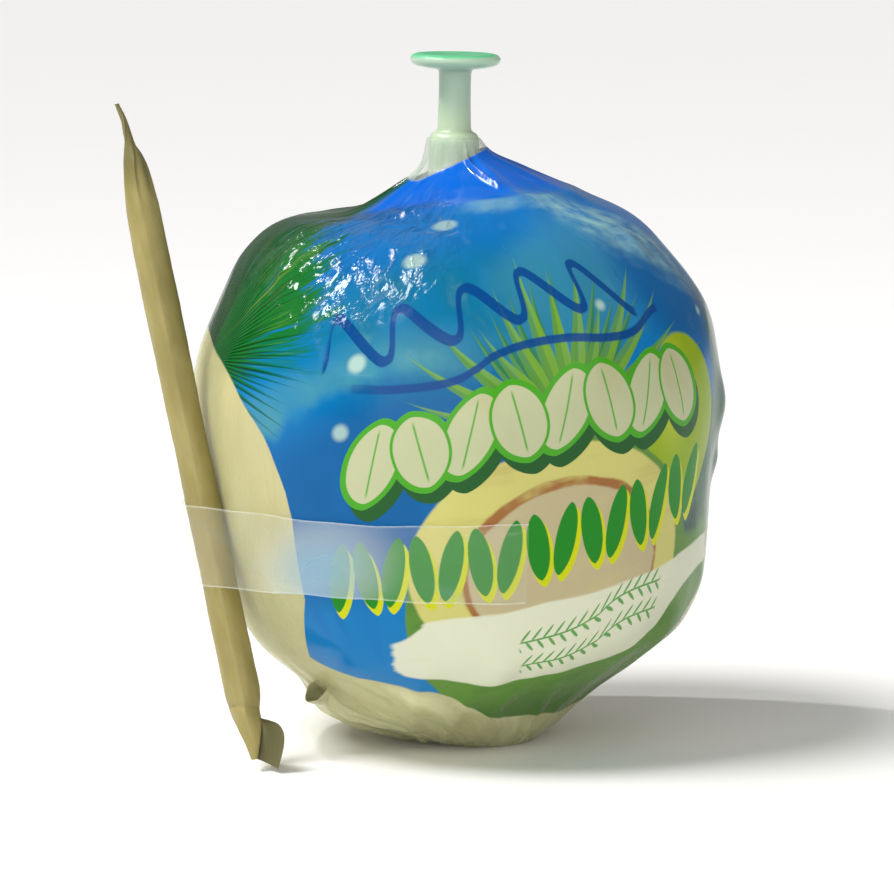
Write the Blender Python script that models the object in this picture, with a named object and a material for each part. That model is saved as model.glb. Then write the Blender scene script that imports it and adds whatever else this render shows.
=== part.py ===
"""Young coconut, trimmed and wrapped in a printed shrink film.

A T-shaped opener stands in a drilled hole at the top of the husk, and a straw in a paper wrapper
is taped to the coconut's side. Metres, +Z up. The origin is the middle of the small flat spot that
the wrapped coconut stands on; -Y is the front of the print and the straw is on the -X side.
"""

import math

import bmesh
import bpy
from mathutils import Matrix, Vector

MM = 0.001

# Driving dimensions
GAP = 0.3 * MM                 # clearance between pieces that touch
FILM_WALL = 0.3 * MM
PAPER_WALL = 0.3 * MM
TAPE_WALL = 0.25 * MM
TAPE_GAP = 0.5 * MM
SEGMENTS = 48                  # round the coconut
STEPS_PER_SPAN = 2             # rings between two stations of an outline

CORE_X = -5.75 * MM            # the coconut's own axis, beside the middle of its flat spot
FACETS = 9                     # broad knife cuts round the husk
FACET_DEPTH = 0.9 * MM
FACET_STAGGER_Z = 60 * MM      # below this height the cuts lie between the ones above
FACET_PLAIN_Z = 72 * MM        # the cuts fade out towards this height, where the husk stays round
FACET_PLAIN_HALF = 18 * MM
FACET_RISE = 25 * MM           # over which a cut gains its full depth
FACET_TOP_Z = 138 * MM
FACET_TOP_FADE = 12 * MM
FACET_FOOT_FADE = 8 * MM

# Outlines from the flat spot up, as (right x, z), (left x, z), (front and back y, z), in mm.
WRAPPED_OUTLINE = (
    ((13.5, 0.0), (-12.5, 0.0), (13.0, 0.0)),
    ((17.8, 3.0), (-24.5, 2.4), (20.5, 2.8)),
    ((31.5, 15.3), (-41.5, 8.2), (36.0, 12.8)),
    ((41.5, 22.8), (-46.0, 15.5), (46.0, 20.5)),
    ((50.3, 30.0), (-57.5, 26.0), (54.5, 29.0)),
    ((55.5, 42.5), (-67.0, 45.0), (60.5, 44.0)),
    ((57.5, 66.0), (-71.5, 72.0), (63.0, 68.0)),
    ((59.3, 93.0), (-72.0, 92.0), (63.5, 92.0)),
    ((56.3, 110.3), (-66.0, 109.5), (58.5, 110.0)),
    ((47.3, 123.0), (-59.0, 123.6), (50.0, 122.8)),
)
TENT_OUTLINE = (
    ((38.5, 131.3), (-49.5, 130.8), (40.5, 129.8)),
    ((24.0, 138.0), (-34.0, 132.2), (27.5, 135.6)),
    ((9.5, 143.8), (-21.8, 138.2), (15.5, 141.0)),
    ((2.4, 147.6), (-15.8, 143.6), (8.4, 145.8)),
    ((-0.4, 151.0), (-14.0, 151.0), (6.8, 151.0)),
)
HUSK_CROWN_OUTLINE = (
    ((37.5, 130.0), (-48.5, 129.8), (39.5, 128.6)),
    ((20.0, 133.2), (-32.0, 131.2), (22.0, 132.0)),
    ((2.5, 134.0), (-18.0, 134.0), (9.5, 134.0)),
)

# Opener
OPENER_X = -7.2 * MM
OPENER_TILT = math.radians(1.0)
OPENER_SIDES = 32
HOLE_RADIUS = 6.5 * MM
HOLE_LOW_Z = 112.0 * MM
HOLE_HIGH_Z = 140.0 * MM
# From the point in the hole up over the boss, the stem and the disc, as (radius, z) in mm.
OPENER_OUTLINE = (
    (0.6, 112.6), (2.4, 113.6), (6.2, 121.0), (6.2, 150.4), (5.9, 151.5), (5.2, 152.2),
    (3.95, 152.5), (3.95, 168.2), (4.4, 168.8), (9.4, 169.1), (10.7, 169.6), (11.25, 170.4),
    (10.9, 171.2), (9.8, 171.8), (5.5, 172.1), (0.6, 172.2),
)

# Straw and its paper wrapper: a line that leans outwards as it rises
STRAW_LOW = Vector((-58.0, -36.0, 14.2)) * MM
STRAW_HIGH = Vector((-82.6, -18.3, 131.6)) * MM
STRAW_RADIUS = 3.0 * MM
STRAW_WALL = 0.4 * MM
STRAW_SIDES = 20
WRAPPER_SIDES = 24
WRAPPER_ROUNDNESS = 1.8        # 2 is an ellipse, and less draws in to a crease along each edge
# Middle of the wrapper from its loose lower end to its twisted tail, with half its width and depth.
WRAPPER_STATIONS = (
    ((-51.6, -45.0, 2.6), 3.2, 0.75),
    ((-54.0, -43.0, 4.2), 3.3, 0.9),
    ((-56.3, -39.9, 7.6), 3.6, 1.6),
    ((-57.4, -37.2, 11.2), 4.1, 3.4),
    ((-57.9, -36.1, 13.7), 4.2, 3.7),
    ((-70.3, -27.15, 72.9), 4.2, 3.7),
    ((-82.7, -18.2, 132.1), 4.2, 3.7),
    ((-83.9, -17.4, 138.0), 3.8, 3.3),
    ((-85.3, -16.0, 146.0), 2.7, 2.0),
    ((-86.6, -14.6, 151.2), 1.5, 1.1),
    ((-87.8, -13.6, 156.0), 1.2, 0.8),
    ((-89.6, -12.8, 160.2), 0.6, 0.5),
)
WRAPPER_HOLLOW_END = 8         # the paper is pressed together from this station up

# Tape: a strip that goes round the straw's outer side, from the back to the front of the coconut
TAPE_LOW_Z = 44.5 * MM
TAPE_HIGH_Z = 63.5 * MM
TAPE_ROWS = 4
TAPE_FRONT = math.radians(-75.0)
TAPE_BACK = math.radians(-214.0)
TAPE_STEP = math.radians(3.5)
TAPE_STEP_AT_STRAW = math.radians(1.0)
STRAW_SECTOR = (math.radians(-170.0), math.radians(-138.0))


def clear_scene():
    """Remove everything that a new scene starts with."""
    for old in list(bpy.data.objects):
        bpy.data.objects.remove(old, do_unlink=True)


def material(name, colour, roughness, metallic=0.0):
    """Make a Principled material from a colour, a roughness and a metallic value."""
    made = bpy.data.materials.new(name)
    made.use_nodes = True
    shader = made.node_tree.nodes["Principled BSDF"]
    shader.inputs["Base Color"].default_value = (*colour, 1.0)
    shader.inputs["Roughness"].default_value = roughness
    shader.inputs["Metallic"].default_value = metallic
    return made


def add_object(name, mesh, finish, smooth_angle=35.0):
    """Put a finished mesh in the scene as one named piece."""
    mesh.materials.append(finish)
    mesh.shade_smooth()
    mesh.set_sharp_from_angle(angle=math.radians(smooth_angle))
    piece = bpy.data.objects.new(name, mesh)
    bpy.context.scene.collection.objects.link(piece)
    return piece


def spline(points, steps):
    """Read a smooth curve through points: a Catmull-Rom spline paced by the square root of length."""
    ends = [points[0] * 2 - points[1]] + list(points) + [points[-1] * 2 - points[-2]]
    curve = []
    for i in range(1, len(ends) - 2):
        knots = [0.0]
        for j in range(3):
            knots.append(knots[-1] + max((ends[i + j] - ends[i + j - 1]).length, 1e-6) ** 0.5)
        for step in range(steps):
            u = knots[1] + (knots[2] - knots[1]) * step / steps
            low = [blend(ends[i + j - 1], ends[i + j], knots[j], knots[j + 1], u) for j in range(3)]
            mid = [blend(low[j], low[j + 1], knots[j], knots[j + 2], u) for j in range(2)]
            curve.append(blend(mid[0], mid[1], knots[1], knots[2], u))
    curve.append(ends[-2])
    return curve


def blend(a, b, start, end, u):
    """Mix a and b as u runs from start to end."""
    return a * ((end - u) / (end - start)) + b * ((u - start) / (end - start))


def clamp(share):
    """Keep a share between 0 and 1."""
    return min(1.0, max(0.0, share))


def facet(angle, z):
    """Give the inward cut of the flat knife facets at an angle round the core, at a height."""
    half_step = math.pi / FACETS
    turn = half_step if z < FACET_STAGGER_Z else 0.0
    offset = (angle + turn + half_step) % (2 * half_step) - half_step
    flat = 1.0 - math.cos(half_step) / math.cos(offset)
    from_plain = clamp((abs(z - FACET_PLAIN_Z) - FACET_PLAIN_HALF) / FACET_RISE)
    fade = clamp((FACET_TOP_Z - z) / FACET_TOP_FADE) * clamp(z / FACET_FOOT_FADE)
    return FACET_DEPTH * from_plain * fade * (flat / (1.0 - math.cos(half_step)))


def outline_rings(stations, steps=STEPS_PER_SPAN):
    """Turn an outline's stations into rings: each gives its reach and height in three directions."""
    sides = []
    for side in range(3):
        points = [Vector((station[side][0], 0.0, station[side][1])) * MM for station in stations]
        sides.append(spline(points, steps))
    return list(zip(*sides))


def ring_point(ring, angle):
    """Find the point of a ring at an angle round the core, where 0 is right and 90 degrees is back."""
    right, left, side = ring
    right_reach = right.x - CORE_X
    left_reach = CORE_X - left.x
    reach = mix_round(right_reach, left_reach, side.x, angle)
    z = mix_round(right.z, left.z, side.z, angle)
    reach -= facet(angle, z)
    return Vector((CORE_X + reach * math.cos(angle), reach * math.sin(angle), z))


def mix_round(right, left, side, angle):
    """Vary a value smoothly round the core between its right, left, and front and back values."""
    mean = 0.5 * (right + left)
    sway = 0.5 * (right - left)
    return 0.5 * (mean + side) + sway * math.cos(angle) + 0.5 * (mean - side) * math.cos(2 * angle)


def surface_grid(rings, segments=SEGMENTS):
    """Work out the points of every ring, from the flat spot up."""
    return [[ring_point(ring, math.tau * i / segments) for i in range(segments)] for ring in rings]


def inward(grid, distance):
    """Move a grid of points inwards along the surface's normals."""
    moved = []
    rows = len(grid)
    count = len(grid[0])
    for r in range(rows):
        row = []
        for i in range(count):
            along = grid[r][(i + 1) % count] - grid[r][i - 1]
            up = grid[min(r + 1, rows - 1)][i] - grid[max(r - 1, 0)][i]
            normal = along.cross(up).normalized()
            row.append(grid[r][i] - normal * distance)
        moved.append(row)
    for point in moved[0]:
        point.z = distance
    return moved


def skin(grid, closed_start=True, closed_end=True):
    """Make a mesh of rings joined one to the next, with flat caps where asked."""
    shape = bmesh.new()
    rows = [[shape.verts.new(point) for point in row] for row in grid]
    count = len(rows[0])
    for low, high in zip(rows, rows[1:]):
        for i in range(count):
            j = (i + 1) % count
            shape.faces.new((low[i], low[j], high[j], high[i]))
    if closed_start:
        shape.faces.new(list(reversed(rows[0])))
    if closed_end:
        shape.faces.new(rows[-1])
    return shape


def finish_mesh(shape, name):
    """Turn all faces outwards and store the shape as a mesh."""
    bmesh.ops.recalc_face_normals(shape, faces=shape.faces)
    mesh = bpy.data.meshes.new(name)
    shape.to_mesh(mesh)
    shape.free()
    return mesh


def turned_rows(outline, sides):
    """Turn an outline of (radius, z) in mm round the opener's leaning axis."""
    lean = Matrix.Rotation(OPENER_TILT, 4, "Y")
    foot = Vector((OPENER_X, 0.0, HOLE_HIGH_Z))
    rows = []
    for radius, z in outline:
        ring = []
        for i in range(sides):
            angle = math.tau * i / sides
            local = Vector((radius * math.cos(angle), radius * math.sin(angle), z)) * MM
            ring.append(foot + lean @ (local - Vector((0.0, 0.0, HOLE_HIGH_Z))))
        rows.append(ring)
    return rows


def build_coconut(finish):
    """Trimmed husk: one solid with a drilled hole for the opener."""
    rings = outline_rings(WRAPPED_OUTLINE + HUSK_CROWN_OUTLINE)
    grid = inward(surface_grid(rings), FILM_WALL + GAP)
    husk = add_object("coconut", finish_mesh(skin(grid), "coconut"), finish)
    hole = ((HOLE_RADIUS / MM, HOLE_LOW_Z / MM), (HOLE_RADIUS / MM, HOLE_HIGH_Z / MM))
    drill_mesh = finish_mesh(skin(turned_rows(hole, OPENER_SIDES)), "drill")
    drill = bpy.data.objects.new("drill", drill_mesh)
    bpy.context.scene.collection.objects.link(drill)
    drill.display_type = "WIRE"
    drill.hide_render = True
    cut = husk.modifiers.new("drilled hole", "BOOLEAN")
    cut.operation = "DIFFERENCE"
    cut.solver = "EXACT"
    cut.object = drill
    return husk


def build_film(finish):
    """Shrink film: a thin bag closed under the flat spot and open at the neck."""
    outer = film_grid()
    inner = inward(outer, FILM_WALL)
    shape = skin(outer + inner[::-1])
    return add_object("shrink_film", finish_mesh(shape, "shrink_film"), finish)


def film_grid():
    """Outer surface of the film, from the flat spot to the top of its neck."""
    return surface_grid(outline_rings(WRAPPED_OUTLINE + TENT_OUTLINE))


def build_opener(finish):
    """Opener: a disc to press, a stem, a wider boss and a point that stands in the drilled hole."""
    shape = skin(turned_rows(OPENER_OUTLINE, OPENER_SIDES))
    return add_object("opener", finish_mesh(shape, "opener"), finish)


def straw_frame():
    """Directions of the straw: along it, across it to the right, and across it to the back."""
    along = (STRAW_HIGH - STRAW_LOW).normalized()
    across = (Vector((1.0, 0.0, 0.0)) - along * along.x).normalized()
    return along, across, along.cross(across)


def build_straw(finish):
    """Drinking straw: a plain tube with square ends, inside the wrapper."""
    _, across, depth = straw_frame()
    rows = []
    inner_radius = STRAW_RADIUS - STRAW_WALL
    for middle, radius in ((STRAW_LOW, STRAW_RADIUS), (STRAW_HIGH, STRAW_RADIUS),
                           (STRAW_HIGH, inner_radius), (STRAW_LOW, inner_radius)):
        ring = []
        for i in range(STRAW_SIDES):
            angle = math.tau * i / STRAW_SIDES
            ring.append(middle + (across * math.cos(angle) + depth * math.sin(angle)) * radius)
        rows.append(ring)
    shape = skin(rows + rows[:1], closed_start=False, closed_end=False)
    bmesh.ops.remove_doubles(shape, verts=shape.verts, dist=1e-7)
    return add_object("drinking_straw", finish_mesh(shape, "drinking_straw"), finish)


def wrapper_section(middle, half_width, half_depth):
    """Points round one section of the wrapper, drawn in to a crease at its left and right."""
    _, across, depth = straw_frame()
    ring = []
    power = 2.0 / WRAPPER_ROUNDNESS
    for i in range(WRAPPER_SIDES):
        angle = math.tau * i / WRAPPER_SIDES
        wide = math.copysign(abs(math.cos(angle)) ** power, math.cos(angle)) * half_width
        deep = math.copysign(abs(math.sin(angle)) ** power, math.sin(angle)) * half_depth
        ring.append(middle + across * wide + depth * deep)
    return ring


def wrapper_rows(wall=0.0, stations=WRAPPER_STATIONS):
    """Sections of the wrapper, moved in from its outer face by the wall."""
    rows = []
    for middle, half_width, half_depth in stations:
        rows.append(wrapper_section(Vector(middle) * MM, half_width * MM - wall, half_depth * MM - wall))
    return rows


def build_wrapper(finish):
    """Paper wrapper: a flattened sleeve, loose and open below and twisted shut above."""
    hollow = wrapper_rows(PAPER_WALL, WRAPPER_STATIONS[:WRAPPER_HOLLOW_END])
    shape = skin(hollow[::-1] + wrapper_rows())
    return add_object("straw_wrapper", finish_mesh(shape, "straw_wrapper"), finish, 50.0)


def hull(points):
    """Convex outline of points in a plane, anticlockwise."""
    ordered = sorted(points)
    chains = []
    for run in (ordered, ordered[::-1]):
        chain = []
        for point in run:
            while len(chain) > 1 and bend(chain[-2], chain[-1], point) <= 0:
                chain.pop()
            chain.append(point)
        chains.append(chain[:-1])
    return chains[0] + chains[1]


def bend(a, b, c):
    """Positive where the way from a over b to c turns left."""
    return (b[0] - a[0]) * (c[1] - a[1]) - (b[1] - a[1]) * (c[0] - a[0])


def level_section(grid, z):
    """Points where the upright lines of a grid pass a height."""
    points = []
    rows = len(grid)
    for i in range(len(grid[0])):
        for r in range(rows - 1):
            low, high = grid[r][i], grid[r + 1][i]
            if low.z <= z < high.z:
                points.append(low.lerp(high, (z - low.z) / (high.z - low.z)))
                break
    return points


def grow(points, middle, distance):
    """Move level points away from a middle."""
    grown = []
    for point in points:
        away = Vector((point.x - middle.x, point.y - middle.y, 0.0)).normalized()
        grown.append((point.x + away.x * distance, point.y + away.y * distance))
    return grown


def reach_of(outline, angle):
    """Distance from the core's axis to a closed outline at an angle."""
    ray = (math.cos(angle), math.sin(angle))
    for a, b in zip(outline, outline[1:] + outline[:1]):
        ax, ay = a[0] - CORE_X, a[1]
        bx, by = b[0] - CORE_X, b[1]
        side_a = ray[0] * ay - ray[1] * ax
        side_b = ray[0] * by - ray[1] * bx
        if side_a <= 0 < side_b:
            share = side_a / (side_a - side_b)
            x, y = ax + (bx - ax) * share, ay + (by - ay) * share
            if x * ray[0] + y * ray[1] > 0:
                return math.hypot(x, y)
    raise ValueError("the outline does not go round the core")


def tape_angles():
    """Angles of the tape's cross lines, closer together where it bends round the straw."""
    angles = [TAPE_FRONT]
    while angles[-1] > TAPE_BACK:
        at_straw = STRAW_SECTOR[0] < angles[-1] < STRAW_SECTOR[1]
        angles.append(angles[-1] - (TAPE_STEP_AT_STRAW if at_straw else TAPE_STEP))
    return angles


def tape_line(outline, z, wall):
    """Points along the tape at one height, out from a tight outline by the wall."""
    line = []
    for angle in tape_angles():
        reach = reach_of(outline, angle) + wall
        line.append(Vector((CORE_X + reach * math.cos(angle), reach * math.sin(angle), z)))
    return line


def build_tape(finish):
    """Clear tape: a strip drawn tight over the film and round the wrapped straw."""
    film = film_grid()
    wrapper = wrapper_rows()
    core = Vector((CORE_X, 0.0, 0.0))
    loops = []
    for step in range(TAPE_ROWS + 1):
        z = TAPE_LOW_Z + (TAPE_HIGH_Z - TAPE_LOW_Z) * step / TAPE_ROWS
        straw = level_section(wrapper, z)
        straw_middle = sum(straw, Vector()) / len(straw)
        around = grow(level_section(film, z), core, TAPE_GAP)
        around += grow(straw, straw_middle, TAPE_GAP)
        outline = hull(around)
        loops.append(tape_line(outline, z, 0.0) + tape_line(outline, z, TAPE_WALL)[::-1])
    return add_object("tape", finish_mesh(skin(loops), "tape"), finish)


def main():
    """Build every piece of the wrapped coconut."""
    clear_scene()
    build_coconut(material("coconut husk", (0.66, 0.58, 0.36), 0.75))
    build_film(material("printed shrink film", (0.02, 0.20, 0.50), 0.15))
    build_opener(material("soft green plastic", (0.35, 0.60, 0.42), 0.35))
    build_straw(material("straw plastic", (0.85, 0.87, 0.83), 0.3))
    build_wrapper(material("wrapper paper", (0.33, 0.28, 0.09), 0.6))
    build_tape(material("clear tape", (0.80, 0.84, 0.84), 0.2))


main()
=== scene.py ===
"""Looks of a young coconut in printed shrink film, built round its CAD frame.

The husk, the film and its print, the push opener, the wrapped straw and the tape are each built
by one class. Sizes are in metres in the frame's own axes: +Z up, -Y out of the front of the print.
"""

from __future__ import annotations

import logging
import math
from dataclasses import dataclass
from enum import Enum
from typing import Sequence, Union

import bpy
import numpy as np
from mathutils import Matrix, Vector, noise

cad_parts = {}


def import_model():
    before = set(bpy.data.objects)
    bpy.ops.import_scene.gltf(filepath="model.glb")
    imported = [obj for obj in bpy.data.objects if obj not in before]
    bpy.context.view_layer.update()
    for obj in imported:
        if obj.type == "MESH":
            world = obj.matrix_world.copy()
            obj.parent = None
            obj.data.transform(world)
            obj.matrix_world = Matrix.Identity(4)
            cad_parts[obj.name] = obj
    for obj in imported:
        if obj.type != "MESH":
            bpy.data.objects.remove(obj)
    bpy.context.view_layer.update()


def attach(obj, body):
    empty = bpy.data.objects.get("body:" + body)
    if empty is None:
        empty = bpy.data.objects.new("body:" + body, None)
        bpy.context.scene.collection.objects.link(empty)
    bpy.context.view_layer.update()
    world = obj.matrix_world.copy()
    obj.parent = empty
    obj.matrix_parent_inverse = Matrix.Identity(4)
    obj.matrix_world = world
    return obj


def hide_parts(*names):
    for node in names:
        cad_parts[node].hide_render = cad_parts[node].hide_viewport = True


LOG = logging.getLogger("young_coconut")
MM = 0.001
BODY = "root"
Station = tuple[tuple[float, float], tuple[float, float], tuple[float, float]]
Line = tuple[tuple[float, float], ...]


# ---------------------------------------------------------------- numbers and fields


def to_linear(colour: str) -> tuple[float, float, float, float]:
    """Turn an sRGB hex colour into a linear one with full alpha.

    Args:
        colour: The colour, as in "#C9BE8E".

    Returns:
        Red, green, blue and alpha, each from 0 to 1.
    """
    channels = [int(colour[i:i + 2], 16) / 255 for i in (1, 3, 5)]
    linear = [c / 12.92 if c <= 0.04045 else ((c + 0.055) / 1.055) ** 2.4 for c in channels]
    return (*linear, 1.0)


def ease(low: float, high: float, value: np.ndarray) -> np.ndarray:
    """Rise smoothly from 0 at low to 1 at high."""
    share = np.clip((value - low) / (high - low), 0.0, 1.0)
    return share * share * (3.0 - 2.0 * share)


def ridge(distance: np.ndarray, width: float) -> np.ndarray:
    """Give a rounded crest that is 1 at no distance and fades over a width."""
    return np.exp(-((distance / width) ** 2))


def noise_over(points: np.ndarray, pitch: float, seed: float) -> np.ndarray:
    """Sample smooth noise at points.

    Args:
        points: Places, in an array whose last axis is x, y, z.
        pitch: Rough distance from one bump to the next.
        seed: Moves the pattern, so that two layers differ.

    Returns:
        Values from about -1 to 1, one for each point.
    """
    flat = points.reshape(-1, 3) / pitch + seed
    values = [noise.noise(Vector(p)) for p in flat.tolist()]
    return np.array(values).reshape(points.shape[:-1]) * 1.6


def smooth_curve(points: np.ndarray, steps: int) -> np.ndarray:
    """Read a Catmull-Rom spline, paced by the square root of length, through points.

    Args:
        points: The points that the curve passes, one in each row.
        steps: How many places to read between two points.

    Returns:
        The places read, one in each row.
    """
    ends = np.vstack([2 * points[0] - points[1], points, 2 * points[-1] - points[-2]])
    share = np.linspace(0.0, 1.0, steps, endpoint=False)[:, None]
    spans = []
    for i in range(1, len(ends) - 2):
        p = ends[i - 1:i + 3]
        gaps = np.maximum(np.linalg.norm(np.diff(p, axis=0), axis=1), 1e-9) ** 0.5
        k = np.concatenate([[0.0], np.cumsum(gaps)])
        u = k[1] + (k[2] - k[1]) * share
        low = [(p[j] * (k[j + 1] - u) + p[j + 1] * (u - k[j])) / (k[j + 1] - k[j]) for j in range(3)]
        mid = [(low[j] * (k[j + 2] - u) + low[j + 1] * (u - k[j])) / (k[j + 2] - k[j]) for j in range(2)]
        spans.append((mid[0] * (k[2] - u) + mid[1] * (u - k[1])) / (k[2] - k[1]))
    return np.vstack([*spans, points[-1:]])


# ---------------------------------------------------------------- meshes


def select_only(piece: bpy.types.Object) -> None:
    """Make a piece the only one selected, and the active one."""
    bpy.ops.object.select_all(action="DESELECT")
    piece.select_set(True)
    bpy.context.view_layer.objects.active = piece


def rolled_sheet(name: str, places: np.ndarray, chart: np.ndarray, merge: bool = True) -> bpy.types.Object:
    """Add a flat grid and roll it into shape.

    Args:
        name: The new piece's name.
        places: Where each grid point goes, as rows of columns of x, y, z.
        chart: Flat coordinates of each grid point, in millimetres, kept as the UV map "chart".
        merge: Whether edges and poles that meet are joined.

    Returns:
        The new piece, with its faces turned outwards.
    """
    rows, columns = places.shape[:2]
    bpy.ops.object.select_all(action="DESELECT")
    bpy.ops.mesh.primitive_grid_add(x_subdivisions=columns - 1, y_subdivisions=rows - 1, size=2.0)
    piece = bpy.context.active_object
    piece.name = name
    piece.data.name = name
    mesh = piece.data
    flat = np.empty(len(mesh.vertices) * 3)
    mesh.vertices.foreach_get("co", flat)
    flat = flat.reshape(-1, 3)
    column = np.rint((flat[:, 0] + 1) / 2 * (columns - 1)).astype(int)
    row = np.rint((flat[:, 1] + 1) / 2 * (rows - 1)).astype(int)
    mesh.vertices.foreach_set("co", places[row, column].astype(np.float32).ravel())
    corner = np.empty(len(mesh.loops), dtype=np.int32)
    mesh.loops.foreach_get("vertex_index", corner)
    layer = mesh.uv_layers[0]
    layer.name = "chart"
    layer.data.foreach_set("uv", chart[row[corner], column[corner]].astype(np.float32).ravel())
    mesh.update()
    bpy.ops.object.mode_set(mode="EDIT")
    bpy.ops.mesh.select_all(action="SELECT")
    if merge:
        bpy.ops.mesh.remove_doubles(threshold=0.002 * MM)
    bpy.ops.mesh.normals_make_consistent(inside=False)
    bpy.ops.object.mode_set(mode="OBJECT")
    return piece


def give_wall(piece: bpy.types.Object, wall: float) -> None:
    """Turn a sheet into a thin closed wall that lies on its inner side.

    Args:
        piece: The sheet.
        wall: The wall's thickness, in metres.
    """
    select_only(piece)
    solid = piece.modifiers.new("wall", "SOLIDIFY")
    solid.thickness = wall
    solid.offset = -1.0
    bpy.ops.object.modifier_apply(modifier=solid.name)


def finish_piece(piece: bpy.types.Object, finishes: Sequence[bpy.types.Material],
                 stands_for: str, sharp: float = 50.0) -> bpy.types.Object:
    """Shade and dress a piece, attach it to the body, and hide the CAD node that it replaces.

    Args:
        piece: The piece, with its place in its mesh.
        finishes: Its materials, in the order of its slots.
        stands_for: The CAD node that it replaces, or an empty name.
        sharp: Edges that turn more than this many degrees stay sharp.

    Returns:
        The same piece.
    """
    select_only(piece)
    bpy.ops.object.shade_smooth_by_angle(angle=math.radians(sharp))
    numbers = np.empty(len(piece.data.polygons), dtype=np.int32)
    piece.data.polygons.foreach_get("material_index", numbers)
    piece.data.materials.clear()
    for finish in finishes:
        piece.data.materials.append(finish)
    piece.data.polygons.foreach_set("material_index", numbers)
    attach(piece, BODY)
    if stands_for:
        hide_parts(stands_for)
    LOG.info("%s: %d faces", piece.name, len(piece.data.polygons))
    return piece


def normals_of(places: np.ndarray) -> np.ndarray:
    """Work out the outward normals of a grid that closes round and whose rows rise.

    Args:
        places: The grid, whose last column repeats its first.

    Returns:
        A unit vector for each place.
    """
    ring = places[:, :-1]
    along = np.roll(ring, -1, axis=1) - np.roll(ring, 1, axis=1)
    rise = np.gradient(ring, axis=0)
    normal = np.cross(along, rise)
    normal /= np.maximum(np.linalg.norm(normal, axis=2, keepdims=True), 1e-12)
    return np.concatenate([normal, normal[:, :1]], axis=1)


# ---------------------------------------------------------------- node building

Value = Union[float, Sequence[float], "Field", bpy.types.NodeSocket]


def add_node(tree: bpy.types.NodeTree, kind: str, inputs: dict[Union[int, str], Value] | None = None,
             **settings: object) -> bpy.types.Node:
    """Add a node with its settings, values and links.

    Args:
        tree: The node tree.
        kind: The node's type name.
        inputs: Socket names or numbers, each with a value, a socket or a field.
        **settings: Properties of the node.

    Returns:
        The new node.
    """
    node = tree.nodes.new(kind)
    for key, value in settings.items():
        setattr(node, key, value)
    for key, value in (inputs or {}).items():
        socket = node.inputs[key]
        if isinstance(value, Field):
            value = value.socket
        if isinstance(value, bpy.types.NodeSocket):
            tree.links.new(value, socket)
        else:
            socket.default_value = value
    return node


class Field:
    """A value that varies over a surface. Arithmetic on it adds the nodes that work it out."""

    def __init__(self, tree: bpy.types.NodeTree, socket: bpy.types.NodeSocket) -> None:
        """Keep the socket that gives the value."""
        self.tree = tree
        self.socket = socket

    def worked(self, operation: str, *others: Value) -> Field:
        """Apply a maths operation to this value and others."""
        inputs = {i: value for i, value in enumerate((self, *others))}
        node = add_node(self.tree, "ShaderNodeMath", inputs, operation=operation)
        return Field(self.tree, node.outputs[0])

    def __add__(self, other: Value) -> Field:
        """Add."""
        return self.worked("ADD", other)

    def __sub__(self, other: Value) -> Field:
        """Subtract."""
        return self.worked("SUBTRACT", other)

    def __mul__(self, other: Value) -> Field:
        """Multiply."""
        return self.worked("MULTIPLY", other)

    def __truediv__(self, other: Value) -> Field:
        """Divide."""
        return self.worked("DIVIDE", other)

    def __pow__(self, other: Value) -> Field:
        """Raise to a power."""
        return self.worked("POWER", other)

    def size(self) -> Field:
        """Drop the sign."""
        return self.worked("ABSOLUTE")

    def least(self, other: Value) -> Field:
        """Take the smaller value."""
        return self.worked("MINIMUM", other)

    def most(self, other: Value) -> Field:
        """Take the larger value."""
        return self.worked("MAXIMUM", other)

    def cell(self) -> Field:
        """Repeat from 0 to 1."""
        return self.worked("FRACT")

    def step(self, low: float, high: float, to: tuple[float, float] = (0.0, 1.0)) -> Field:
        """Pass smoothly between two values while this one goes from low to high, which may be less."""
        inputs = {"Value": self, "From Min": low, "From Max": high, "To Min": to[0], "To Max": to[1]}
        node = add_node(self.tree, "ShaderNodeMapRange", inputs, interpolation_type="SMOOTHSTEP")
        return Field(self.tree, node.outputs[0])


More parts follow.
